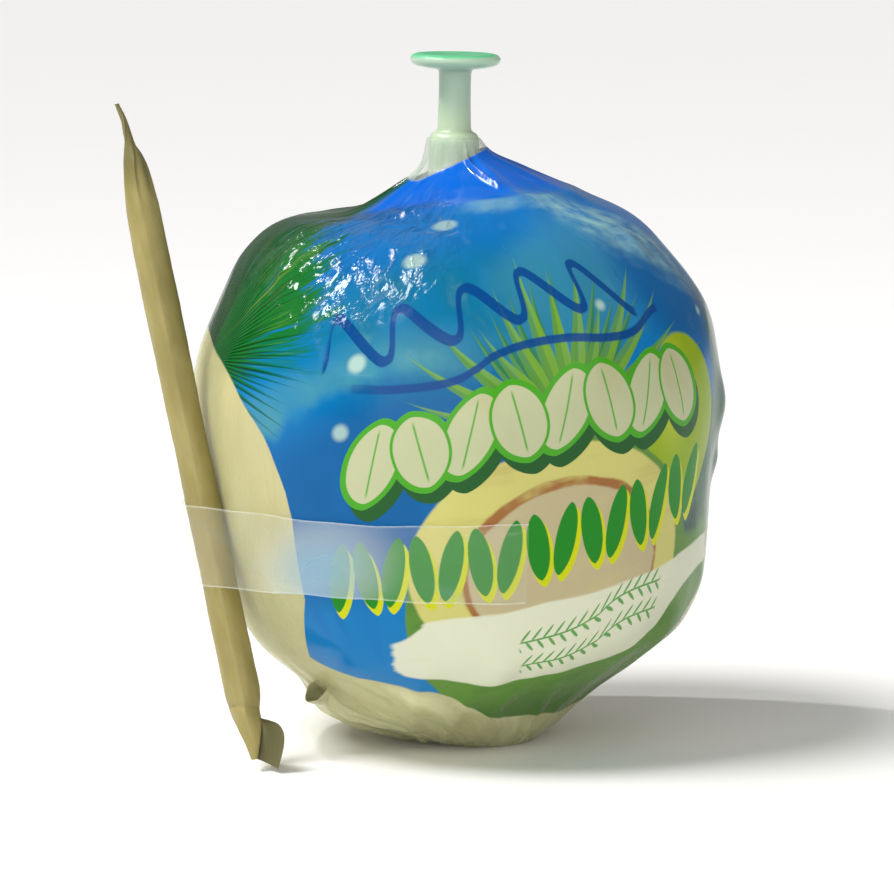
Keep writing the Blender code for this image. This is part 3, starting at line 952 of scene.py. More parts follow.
    def sprigs(self, under: bpy.types.NodeSocket) -> bpy.types.NodeSocket:
        """Print two small green sprigs on the panel."""
        colour = under
        for points, shift in ((self.upper_sprig, 0.0), (self.lower_sprig, 1.6)):
            line = self.level(points)
            stretch = self.between(16.0 + shift, 56.5, 0.6)
            stem = (self.up - line).size().step(0.34, 0.2)
            above, _ = self.garland(line, 3.1, (0.62, 1.9), 0.75, shift, (0.0, 1.5))
            below, _ = self.garland(line, 3.1, (0.62, 1.7), -0.75, shift + 1.5, (0.0, -1.4))
            colour = self.paint(colour, above.most(below).most(stem) * stretch * 0.9, self.inks.sprig)
        return colour

    def garlands(self, under: bpy.types.NodeSocket) -> bpy.types.NodeSocket:
        """Paint the broad cream garland, and the slender green one with its yellow drop."""
        ink = self.inks
        smudge = self.grain(14.0, (1.0, 2.0, 1.0), 20.0, 3.0, 17.0)
        line = self.level(self.cream_line)
        size, pitch = (6.3, 9.2), 23.0
        rows = ((0.24, -32.0, self.between(-32.0, 60.0, 0.4)), (-0.24, -20.5, self.between(-20.5, 71.5, 0.4)))
        for offset, grow, colour in (((1.6, -3.4), 1.2, ink.drop), ((0.0, 0.0), 1.5, ink.cream_edge)):
            for lean, start, room in rows:
                leaf, _ = self.garland(line, pitch, size, lean, start, offset, grow)
                under = self.paint(under, leaf * room, colour)
        for lean, start, room in rows:
            edge, _ = self.garland(line, pitch, size, lean, start, (0.0, 0.0), 0.7)
            petal, vein = self.garland(line, pitch, size, lean, start)
            under = self.paint(under, edge * room, ink.cream_edge)
            tone = self.paint(ink.cream, smudge.step(0.0, 1.0) * 0.35, ink.rind_shade)
            under = self.paint(under, petal * room, self.paint(tone, vein * 0.85, ink.cream_edge))
        line = self.level(self.green_line)
        size, pitch = (2.9, 8.6), 14.0
        rows = ((0.16, -37.0, self.between(-37.0, 75.0, 0.3)), (-0.16, -30.0, self.between(-30.0, 68.0, 0.3)))
        for offset, grow, colour in (((0.9, -1.7), 0.2, ink.yellow), ((0.0, 0.0), 0.0, ink.green)):
            for lean, start, room in rows:
                leaf, _ = self.garland(line, pitch, size, lean, start, offset, grow)
                under = self.paint(under, leaf * room, colour)
        return under

    def waves(self, under: bpy.types.NodeSocket) -> bpy.types.NodeSocket:
        """Brush a dark blue rolling wave across the sky, with a long curl under it."""
        middle = self.level(self.wave_line)
        rise = self.up - middle
        phase = (self.across + rise * 0.55) * (math.tau / self.wave_pitch)
        swell = phase.worked("SINE") * 6.2
        slope = phase.worked("COSINE")
        steep = (slope * slope * 5.2 + 1.0) ** 0.5
        pen = slope.step(-0.9, 0.9, (1.5, 0.62))
        stroke = (pen * 1.15 - (rise - swell).size() / steep).step(-0.15, 0.25)
        stroke = stroke * self.between(-34.0, 50.0, 0.7)
        curl = self.level(self.curl_line)
        swash = self.between(-26.0, 58.0, 0.6) * self.across.step(-30.0, -14.0, (0.25, 1.0))
        swash = swash * (self.up - curl).size().step(1.3, 0.8)
        return self.paint(under, stroke.most(swash) * 0.93, self.inks.brush)

    def spots(self, under: bpy.types.NodeSocket) -> bpy.types.NodeSocket:
        """Drop soft pale spots of light on the sky."""
        for centre, half, strength in (((-25.3, 127.6), (2.2, 2.2), 0.95), ((-28.3, 111.3), (1.9, 1.9), 0.8),
                                       ((-14.0, 153.5), (3.4, 2.2), 0.85), ((39.0, 135.8), (1.3, 1.3), 0.9),
                                       ((77.5, 129.3), (1.1, 1.1), 0.8), ((-6.3, 168.0), (5.0, 2.6), 0.7)):
            spot = self.oval(centre, half, 0.0, 1.7)
            under = self.paint(under, spot * strength, self.inks.spot)
        return under

    def colour(self) -> bpy.types.NodeSocket:
        """Paint the whole picture."""
        layer = self.sea_and_sky()
        for paint in (self.dark_palm, self.light_palm, self.fruit, self.sprigs, self.waves, self.garlands,
                      self.spots):
            layer = paint(layer)
        return layer

    def printed(self, body: Pattern) -> Field:
        """Mask the printed part of the film; the rest is clear.

        Args:
            body: The object's own axes, in mm, for the slanting cut of the print at the neck.

        Returns:
            1 where there is ink.
        """
        edge = self.edge
        below = (self.whole.up * -1.0 + edge.slant_top).most(0.0).least(edge.slant_fall)
        drawn = self.whole.moved(self.whole.across + below * edge.slant, self.whole.up)
        above = (self.whole.up - drawn.level(edge.line)).step(-0.5, 0.5)
        cut = (body.across * edge.neck_slope + edge.neck_height).most(edge.neck_low) - body.deep
        return above * cut.step(-0.4, 0.4)


class FilmPart(Enum):
    """The part of the film that is inked all over, and the part that holds the clear window's edge."""

    INKED = "printed_pvc_shrink_film"
    WITH_WINDOW = "part_clear_pvc_shrink_film"


@dataclass(frozen=True)
class PrintedShrinkFilm:
    """Heat-shrunk PVC film, gravure printed and clear at the foot: glossy, crinkled where it shrank most."""

    clear: str = "#D0D2A2"
    neck: str = "#CBD8C9"
    # Lit and dull copies of the clear film's colour: painted highlight and painted shade for the folds at the
    # foot.
    lit: str = "#E6E0B4"
    dull: str = "#8A8A55"
    clear_share: float = 0.16
    roughness: float = 0.17
    index: float = 1.53
    specular: tuple[float, float] = (0.16, 0.5)
    crumple_centre: tuple[float, float] = (-36.0, 162.0)
    crumple_half: tuple[float, float] = (36.0, 24.0)

    def material(self, part: FilmPart) -> bpy.types.Material:
        """Make the material for one part of the film.

        Args:
            part: The part; only the one with the window lets light through.

        Returns:
            The material.
        """
        finish = Finish(part.value)
        tree = finish.tree
        picture = TropicPicture.on_film(tree)
        body = Pattern.on_object(tree)
        ink = picture.printed(body)
        bare = body.paint(self.clear, body.deep.step(128.0, 140.0), self.neck)
        # Streaks at the foot painted lighter and darker, as painted highlight and painted shade standing in
        # for the film's folds; they also make the film more milky there.
        painted_fold_streaks = picture.whole.grain(17.0, (1.0, 5.0, 1.0), 48.0, 2.5, 19.0)
        foot = picture.whole.up.step(50.0, 34.0)
        bare = picture.paint(bare, painted_fold_streaks.step(0.05, 0.7) * foot * 0.8, self.lit)
        bare = picture.paint(bare, painted_fold_streaks.step(-0.05, -0.7) * foot * 0.8, self.dull)
        colour = picture.paint(bare, ink, picture.colour())
        weight = add_node(tree, "ShaderNodeLayerWeight", {"Blend": 0.25})
        milk = picture.whole.grain(18.0, (1.0, 2.5, 1.0), 12.0, 4.0, 3.0).step(-0.4, 0.9, (0.0, 0.16))
        facing = Field(tree, weight.outputs["Facing"])
        see = facing * facing * 0.5 + milk + foot * painted_fold_streaks.size() * 0.9 + self.clear_share
        see = see.least(0.9).most(ink)
        relief = self.relief(picture.whole)
        crumpled = self.crumpled(picture.whole)
        satin = (self.roughness - 0.04, self.roughness + 0.08)
        glossy = crumpled.most(picture.whole.oval((26.0, 188.0), (26.0, 9.0), -6.0, 10.0) * 0.8)
        rough = picture.whole.grain(30.0, seed=8.0).step(-0.8, 0.8, satin) - glossy * 0.09
        shader = {"Base Color": colour, "Roughness": rough, "IOR": self.index,
                  "Specular IOR Level": glossy.step(0.0, 1.0, self.specular)}
        if part is FilmPart.WITH_WINDOW:
            shader["Alpha"] = see
        return finish.done(shader, relief, 0.6 * MM)

    def crumpled(self, chart: Pattern) -> Field:
        """Mask the left shoulder, where the film shrank most."""
        return chart.oval(self.crumple_centre, self.crumple_half, 8.0, 16.0)

    def relief(self, chart: Pattern) -> Field:
        """Work out the fine crinkles, heaviest on the left shoulder where the film shrank over the edge.

        Args:
            chart: The film's whole chart, without the picture's repeat.

        Returns:
            The height of the fine surface.
        """
        calm = chart.grain(12.0, (1.0, 1.8, 1.0), 20.0, 4.0, 2.0) * 0.17
        area = self.crumpled(chart)
        aside = chart.grain(7.0, detail=2.0, seed=4.0) * 2.2
        rise = chart.grain(6.0, detail=2.0, seed=14.0) * 2.2
        warped = chart.moved(chart.across + aside, chart.up + rise)
        tree = chart.tree
        cells = add_node(tree, "ShaderNodeTexVoronoi", {"Vector": warped.place, "Scale": 0.17}, feature="F1")
        spread = add_node(tree, "ShaderNodeVectorMath", {0: warped.place, 1: cells.outputs["Position"]},
                          operation="SUBTRACT")
        lean = add_node(tree, "ShaderNodeVectorMath", {0: cells.outputs["Color"], 1: (0.5, 0.5, 0.5)},
                        operation="SUBTRACT")
        tilt = add_node(tree, "ShaderNodeVectorMath", {0: spread.outputs[0], 1: lean.outputs[0]},
                        operation="DOT_PRODUCT")
        facets = Field(tree, tilt.outputs["Value"]) * 0.5
        sharp = (chart.grain(6.5, (1.0, 1.6, 1.0), -35.0, 4.0, 23.0).size() * -1.0 + 1.0).most(0.0) ** 5.0
        dots = chart.grain(2.4, detail=1.0, seed=61.0).step(0.8, 1.2)
        creased = (facets + sharp * 0.5 + dots * 0.3) * area
        foot = chart.grain(12.0, (1.0, 4.0, 1.0), 42.0, 2.0, 37.0) * chart.up.step(66.0, 30.0) * 0.4
        return calm + creased + foot


@dataclass(frozen=True)
class FoldedShrinkFilm:
    """Several layers of the same clear film rolled together: pale, glossy, nearly opaque."""

    pale: str = "#B2B288"
    dull: str = "#8E8C60"

    def material(self) -> bpy.types.Material:
        """Make the material."""
        finish = Finish("rolled_pvc_shrink_film")
        roll = Pattern.on_chart(finish.tree)
        layers = roll.grain(4.0, (1.0, 5.0, 1.0), 10.0, 4.0)
        colour = roll.paint(self.pale, layers.step(-0.2, 0.9) * 0.7, self.dull)
        rough = layers.step(-1.0, 1.0, (0.16, 0.26))
        return finish.done({"Base Color": colour, "Roughness": rough, "IOR": 1.53,
                            "Specular IOR Level": 0.3}, layers, 0.4 * MM)


@dataclass(frozen=True)
class ArcCrease:
    """A curved crease on the film's chart. Sizes in mm, directions in radians."""

    centre: tuple[float, float]
    radius: float
    first: float
    last: float
    high: float


@dataclass(frozen=True)
class Bump:
    """A small rounded bump on the film's chart, in mm."""

    centre: tuple[float, float]
    wide: float
    high: float


@dataclass
class ShrinkFilm:
    """The printed film, shrunk over the husk and drawn up round the opener. Sizes in mm."""

    form: CoconutForm
    wall: float = 0.12
    rows: int = 176
    columns: int = 252
    seam: float = math.radians(-224.0)
    girth_radius: float = 62.0
    base_rows: int = 5
    base_radius: float = 13.0
    # Pleats of the neck: way round, height, half width.
    pleats: tuple[tuple[float, float, float], ...] = (
        (-128, 0.8, 3.0), (-104, 1.0, 3.4), (-84, 0.6, 2.6), (-66, 0.9, 4.0), (-47, 0.6, 3.4), (34, 0.9, 5.0),
        (72, 0.5, 4.0), (97, 0.5, 4.0), (121, 0.7, 2.8), (150, 0.9, 3.4), (176, 0.8, 2.8), (199, 0.9, 3.0),
    )
    # Gathers of the foot: way round at the base, lean, height, half width.
    gathers: tuple[tuple[float, float, float, float], ...] = (
        (-78, -0.35, 0.8, 2.6), (-62, -0.1, 0.9, 2.2), (-47, -0.25, 0.8, 2.4), (-36, 0.55, 0.9, 3.0),
        (-18, 0.65, 0.8, 3.4), (2, 0.5, 0.5, 3.0), (22, -0.2, 0.5, 2.6), (48, -0.4, 0.6, 3.0),
        (80, -0.2, 0.6, 3.0), (104, 0.1, 0.8, 2.6), (131, 0.3, 0.6, 3.0), (160, -0.3, 0.8, 2.8),
        (188, 0.2, 0.7, 3.0), (214, 0.4, 0.8, 2.4), (232, -0.2, 0.7, 2.6),
    )
    lane: Line = ((-150, 181), (-42, 180), (0, 177), (65, 172), (130, 176), (250, 181))
    tent_crease: Line = ((14.0, 197.0), (22.0, 190.0), (31.0, 184.0))
    crinkled_centre: tuple[float, float] = (-36.0, 166.0)
    crinkled_half: tuple[float, float] = (34.0, 21.0)
    arcs: tuple[ArcCrease, ...] = (
        ArcCrease((-22, 141), 18.0, 1.9, 5.1, 0.55), ArcCrease((-26, 171), 9.0, -0.4, 2.6, 0.6),
        ArcCrease((-47, 158), 12.0, 2.4, 4.4, 0.6), ArcCrease((-62, 150), 11.0, -1.0, 1.2, 0.5),
    )
    arc_fade: float = 0.35
    bumps: tuple[Bump, ...] = (
        Bump((66, 150), 4.0, 1.3), Bump((91, 104), 5.0, 1.4), Bump((92, 90), 3.0, 0.9),
        Bump((84, 60), 5.0, 0.7),
    )
    # Where the tape presses the film flat: heights, and ways round.
    taped_heights: tuple[float, float] = (40.0, 68.0)
    taped_ways: tuple[float, float] = (-145.0, 20.0)
    # Line of the rolled fold: x, y, z, radius.
    fold_stations: tuple[tuple[float, float, float, float], ...] = (
        (-41.0, -26.0, 16.8, 3.1), (-38.6, -23.6, 14.9, 3.0), (-34.2, -23.2, 12.0, 2.6),
        (-28.0, -25.0, 9.6, 2.0), (-22.0, -25.4, 7.9, 1.4), (-17.0, -24.0, 6.6, 0.8),
    )
    fold_sides: int = 48

    def chart(self, places: np.ndarray) -> np.ndarray:
        """Lay the surface out flat.

        Args:
            places: The grid, in metres.

        Returns:
            Way round the girth and way up from the base of each place, in mm.
        """
        rise = np.linalg.norm(np.diff(places, axis=0), axis=2)
        up = np.concatenate([np.zeros((1, rise.shape[1])), np.cumsum(rise, axis=0)]) / MM
        angle = self.seam + np.linspace(0.0, math.tau, self.columns + 1) + math.pi / 2
        across = np.broadcast_to(angle * self.girth_radius, up.shape)
        return np.stack([across, up], axis=2)

    def neck_pleats(self, u: np.ndarray, share: np.ndarray) -> np.ndarray:
        """Raise the pleats that run up into the neck.

        Args:
            u: Way round the girth, in mm.
            share: Way up, as a share of the whole.

        Returns:
            Heights, in mm.
        """
        neck = ease(0.74, 0.97, share)
        gather = neck * (1 - 0.9 * ease(0.93, 1.0, share))
        height = np.zeros_like(share)
        for at, high, wide in self.pleats:
            lean = at + (1 - share) * 60 * math.sin(at)
            height += high * gather * ridge(u - lean, wide * (1 + 1.2 * (1 - neck)))
        return height

    def shoulder_creases(self, u: np.ndarray, v: np.ndarray) -> np.ndarray:
        """Raise the lip that runs round above the shoulder, and the crease on the tent's right.

        Args:
            u: Way round the girth, in mm.
            v: Way up from the base, in mm.

        Returns:
            Heights, in mm.
        """
        lane = np.interp(u, *np.array(self.lane, dtype=float).T)
        along = ease(-75, -30, u) * (1 - ease(60, 95, u)) * 0.75 + 0.25
        height = ridge(v - lane, 2.6) * along * 0.75 - ridge(v - lane - 6.5, 4.5) * along * 0.35
        line = np.array(self.tent_crease)
        crease = np.interp(v, line[::-1, 1], line[::-1, 0])
        reach = ease(line[-1, 1] - 4, line[-1, 1], v) * (1 - ease(line[0, 1], line[0, 1] + 5, v))
        return height + ridge(u - crease, 3.0) * reach * 1.3

    def crinkles(self, places: np.ndarray, u: np.ndarray, v: np.ndarray) -> np.ndarray:
        """Raise the crinkles and curved creases of the left shoulder, where the film shrank most.

        Args:
            places: The grid, in metres.
            u: Way round the girth, in mm.
            v: Way up from the base, in mm.

        Returns:
            Heights, in mm.
        """
        (middle_u, middle_v), (half_u, half_v) = self.crinkled_centre, self.crinkled_half
        patch = ridge(np.hypot((u - middle_u) / half_u, (v - middle_v) / half_v), 1.0)
        crinkle = 1 - np.abs(noise_over(places, 9.0 * MM, 12.0))
        height = patch * (crinkle.clip(0, 1) ** 4 * 0.8 + noise_over(places, 4.2 * MM, 15.0) * 0.22)
        for arc in self.arcs:
            aside, rise = u - arc.centre[0], v - arc.centre[1]
            turn = np.mod(np.arctan2(rise, aside) - arc.first, math.tau)
            span = arc.last - arc.first
            drawn = ease(0, self.arc_fade, turn) * (1 - ease(span - self.arc_fade, span, turn))
            height += arc.high * drawn * ridge(np.hypot(aside, rise) - arc.radius, 1.3)
        return height

    def foot_gathers(self, u: np.ndarray, v: np.ndarray) -> np.ndarray:
        """Raise the gathers that spread from the foot, and the bumps of the right side.

        Args:
            u: Way round the girth, in mm.
            v: Way up from the base, in mm.

        Returns:
            Heights, in mm.
        """
        foot = ease(2.0, 9.0, v) * (1 - ease(34.0, 62.0, v))
        height = np.zeros_like(v)
        for at, lean, high, wide in self.gathers:
            height += high * foot * ridge(u - at - lean * v, wide * (0.5 + v / 45.0))
        for bump in self.bumps:
            reach = np.hypot(u - bump.centre[0], (v - bump.centre[1]) / 1.4)
            height += bump.high * ridge(reach, bump.wide)
        return height

    def relief(self, places: np.ndarray, chart: np.ndarray) -> np.ndarray:
        """Work out how far each place stands out from the smooth form.

        Args:
            places: The smooth grid, in metres.
            chart: Its flat coordinates, in mm.

        Returns:
            The distance, in mm.
        """
        u, v = chart[..., 0], chart[..., 1]
        z = places[..., 2] / MM
        share = v / v[-1]
        height = noise_over(places, 24 * MM, 1.0) * 0.35 + noise_over(places, 9 * MM, 5.0) * 0.10
        height += self.neck_pleats(u, share) + self.shoulder_creases(u, v)
        height += self.crinkles(places, u, v) + self.foot_gathers(u, v)
        (low, high), (left, right) = self.taped_heights, self.taped_ways
        taped = ease(low, low + 3, z) * (1 - ease(high - 3, high, z)) * (u < right) * (u > left)
        pressed = height * (1 - taped) + np.clip(height, -0.3, 0.3) * taped
        height = np.where(taped > 0, pressed, height)
        lowest = -0.35 * ease(0.5, 5.0, z) * (1 - 0.6 * ease(0.95, 1.0, share))
        return np.maximum(height, lowest) * ease(0.0, 1.5, v)

    def build(self) -> bpy.types.Object:
        """Build and dress the film."""
        skin = self.form.surface(self.form.wrapped + self.form.tent, self.rows, self.columns, self.seam)
        chart = self.chart(skin)
        skin = skin + normals_of(skin) * (self.relief(skin, chart) * MM)[..., None]
        skin[..., 2] = np.maximum(skin[..., 2], 0.0)
        share = np.linspace(0.0, 1.0, self.base_rows, endpoint=False)[:, None, None]
        base = skin[:1] * share
        inward = (share - 1) * self.base_radius + 0 * chart[:1, :, 1:]
        base_chart = np.concatenate([chart[:1, :, :1] + 0 * share, inward], axis=2)
        places = np.concatenate([base, skin])
        piece = rolled_sheet("shrink_film_print", places, np.concatenate([base_chart, chart]))
        give_wall(piece, self.wall * MM)
        film = PrintedShrinkFilm()
        self.mark_window(piece)
        finishes = [film.material(FilmPart.INKED), film.material(FilmPart.WITH_WINDOW)]
        return finish_piece(piece, finishes, "shrink_film")

    def rolled_fold(self) -> bpy.types.Object:
        """Build the spare film rolled up along the lower left edge, open at its upper end."""
        path = smooth_curve(np.array(self.fold_stations), 20)
        along = np.gradient(path[:, :3], axis=0)
        along /= np.linalg.norm(along, axis=1, keepdims=True)
        aside = np.cross(along, (0.0, 0.0, 1.0))
        aside /= np.linalg.norm(aside, axis=1, keepdims=True)
        rise = np.cross(aside, along)
        angle = np.linspace(0.0, math.tau, self.fold_sides + 1)[None, :]
        radius = path[:, 3:4] * (1 + 0.10 * np.sin(angle * 2 + 0.6) + 0.05 * np.sin(angle * 5))
        places = (path[:, None, :3] + (radius * np.cos(angle))[..., None] * aside[:, None]
                  + (radius * np.sin(angle))[..., None] * rise[:, None])
        places += noise_over(places, 5.0, 3.0)[..., None] * 0.25
        way = np.concatenate([[0.0], np.cumsum(np.linalg.norm(np.diff(path[:, :3], axis=0), axis=1))])
        chart = np.stack([np.broadcast_to(angle * 3.0, places.shape[:2]),
                          np.broadcast_to(way[:, None], places.shape[:2])], axis=2)
        piece = rolled_sheet("shrink_film_fold", places * MM, chart)
        give_wall(piece, self.wall * MM)
        return finish_piece(piece, [FoldedShrinkFilm().material()], "shrink_film")

    def mark_window(self, piece: bpy.types.Object) -> None:
        """Give the part clear finish to the faces near and below the lower edge, and to the neck."""
        mesh = piece.data
        chart = np.empty(len(mesh.loops) * 2)
        mesh.uv_layers["chart"].data.foreach_get("uv", chart)
        first = np.empty(len(mesh.polygons), dtype=np.int32)
        mesh.polygons.foreach_get("loop_start", first)
        u, v = chart.reshape(-1, 2)[first].T
        height = np.array([face.center.z for face in mesh.polygons])
        edge = PrintEdge()
        clear = (v < edge.highest(u, v) + edge.margin) | (height > edge.neck_clear * MM)
        mesh.polygons.foreach_set("material_index", clear.astype(np.int32))
        mesh.update()


# ---------------------------------------------------------------- opener


@dataclass(frozen=True)
class MouldedPolythene:
    """Injection-moulded natural polythene with a little green: translucent, satin, faint flow marks."""

    body: str = "#9DB5A0"
    warm: str = "#AFC0A2"
    disc: str = "#62BA8B"
    disc_deep: str = "#22A35C"

    def material(self) -> bpy.types.Material:
        """Make the material."""
        finish = Finish("moulded_polythene")
        body = Pattern.on_object(finish.tree)
        flow = body.grain(7.0, (1.0, 1.0, 3.0), detail=3.0)
        tint = (body.deep + body.grain(5.0, seed=2.0) * 0.12).step(170.9, 171.5)
        rim = body.grain(9.0, seed=4.0).step(-0.5, 0.8)
        stem = body.paint(self.body, body.deep.step(163.0, 154.0), self.warm)
        colour = body.paint(stem, tint, body.paint(self.disc, rim * 0.75, self.disc_deep))
        relief = flow * 0.5 + body.grain(0.8, detail=2.0) * 0.12
        rough = flow.step(-1.0, 1.0, (0.26, 0.38))
        return finish.done({"Base Color": colour, "Roughness": rough, "IOR": 1.51, "Subsurface Weight": 0.55,
                            "Subsurface Radius": (0.006, 0.007, 0.005), "Subsurface Scale": 1.0},
                           relief, 0.08 * MM)


@dataclass
class Opener:
    """The push-in opener: a boss, a stem and a broad pressing disc.

    The profile is (radius, height), in mm.
    """

    x: float = -7.2
    sides: int = 96
    tilt: float = math.radians(1.0)
    tilt_height: float = 140.0
    profile: tuple[tuple[float, float], ...] = (
        (0.6, 112.6), (2.4, 113.6), (6.2, 121.0), (6.2, 150.2), (6.1, 151.0), (5.8, 151.7), (5.3, 152.2),
        (4.7, 152.5), (4.3, 152.9), (4.15, 153.6), (4.1, 156.0), (3.98, 160.0), (3.95, 164.0),
        (4.0, 166.9), (4.15, 167.6), (4.6, 167.95), (5.6, 168.1), (7.6, 168.4), (9.3, 168.75),
        (10.3, 169.15), (10.9, 169.7), (11.2, 170.3), (11.15, 170.8), (10.8, 171.3), (10.2, 171.65),
        (9.4, 171.85), (8.6, 171.8), (7.6, 171.6), (5.6, 171.45), (2.6, 171.4), (1.6, 171.45),
        (1.1, 171.6), (0.5, 171.65),
    )

    def build(self) -> bpy.types.Object:
        """Build and dress the opener by drawing a disc up through its profile."""
        bpy.ops.object.select_all(action="DESELECT")
        radius, height = self.profile[0]
        bpy.ops.mesh.primitive_circle_add(vertices=self.sides, radius=radius * MM, fill_type="NGON",
                                          location=(self.x * MM, 0.0, height * MM))
        piece = bpy.context.active_object
        piece.name = "push_opener"
        bpy.ops.object.transform_apply(location=True)
        bpy.ops.object.mode_set(mode="EDIT")
        bpy.ops.mesh.select_all(action="SELECT")
        for (radius, height), (wider, higher) in zip(self.profile, self.profile[1:]):
            bpy.ops.mesh.extrude_region_move(
                TRANSFORM_OT_translate={"value": (0.0, 0.0, (higher - height) * MM)})
            grow = wider / radius
            bpy.ops.transform.resize(value=(grow, grow, 1.0), center_override=(self.x * MM, 0.0, higher * MM))
        bpy.ops.mesh.select_all(action="SELECT")
        bpy.ops.mesh.normals_make_consistent(inside=False)
        bpy.ops.object.mode_set(mode="OBJECT")
        lean = Matrix.Rotation(self.tilt, 4, "Y")
        foot = Matrix.Translation((self.x * MM, 0.0, self.tilt_height * MM))
        piece.data.transform(foot @ lean @ foot.inverted())
        return finish_piece(piece, [MouldedPolythene().material()], "opener", 40.0)


# ---------------------------------------------------------------- straw and wrapper


class PaperSide(Enum):
    """Which finish of the wrapper's paper: its outer face, or a darker copy whose colour is painted shade for
    the hollow of the curled lip.
    """

    OUTSIDE = "greaseproof_paper"
    INSIDE = "greaseproof_paper_curl_shade"


@dataclass(frozen=True)
class GreaseproofPaper:
    """Calendered unbleached paper: satin, olive straw colour, cloudy with long fibres."""

    tan: str = "#867A41"
    light: str = "#9C8F55"
    olive: str = "#605A2C"
    # Darker paper colours for the curled lip: painted shade for the hollow of the curl.
    inside: str = "#4E4A26"
    curl_shade_light: str = "#615C34"

    def material(self, side: PaperSide) -> bpy.types.Material:
        """Make the material for the paper's outer face, or for its darker copy with painted shade.

        Args:
            side: Which finish; the shaded curl is darker, painted shade for the hollow of the lip.

        Returns:
            The material.
        """
        finish = Finish(side.value)
        sheet = Pattern.on_chart(finish.tree)
        body = Pattern.on_object(finish.tree)
        cloud = sheet.grain(6.0, (1.0, 3.0, 1.0), detail=4.0)
        fibre = sheet.grain(0.5, (1.0, 7.0, 1.0), 8.0, 3.0, 12.0)
        base, pale = self.tan, self.light
        # The curled lip is painted darker: painted shade for the hollow of the curl.
        if side is PaperSide.INSIDE:
            base, pale = self.inside, self.curl_shade_light
        colour = sheet.paint(base, cloud.step(-0.6, 0.9), pale)
        colour = sheet.paint(colour, fibre.step(0.3, 1.1) * 0.3, self.olive)
        tip = body.deep.step(137.0, 147.0) * 0.75
        colour = sheet.paint(colour, tip, self.olive)
        relief = cloud * 0.5 + fibre * 0.25
        rough = cloud.step(-1.0, 1.0, (0.42, 0.56))
        return finish.done({"Base Color": colour, "Roughness": rough, "IOR": 1.47, "Sheen Weight": 0.1},
                           relief, 0.12 * MM)


@dataclass(frozen=True)
class ExtrudedStraw:
    """Extruded white polypropylene straw, faintly lined along its length by the die."""

    white: str = "#E8E8E2"
    shade: str = "#D3D5CF"

    def material(self) -> bpy.types.Material:
        """Make the material."""
        finish = Finish("extruded_polypropylene")
        body = Pattern.on_object(finish.tree)
        lines = body.grain(0.6, (1.0, 1.0, 60.0), detail=2.0)
        colour = body.paint(self.white, lines.step(0.0, 1.0) * 0.6, self.shade)
        rough = lines.step(-1.0, 1.0, (0.34, 0.44))
        return finish.done({"Base Color": colour, "Roughness": rough, "IOR": 1.49}, lines, 0.05 * MM)


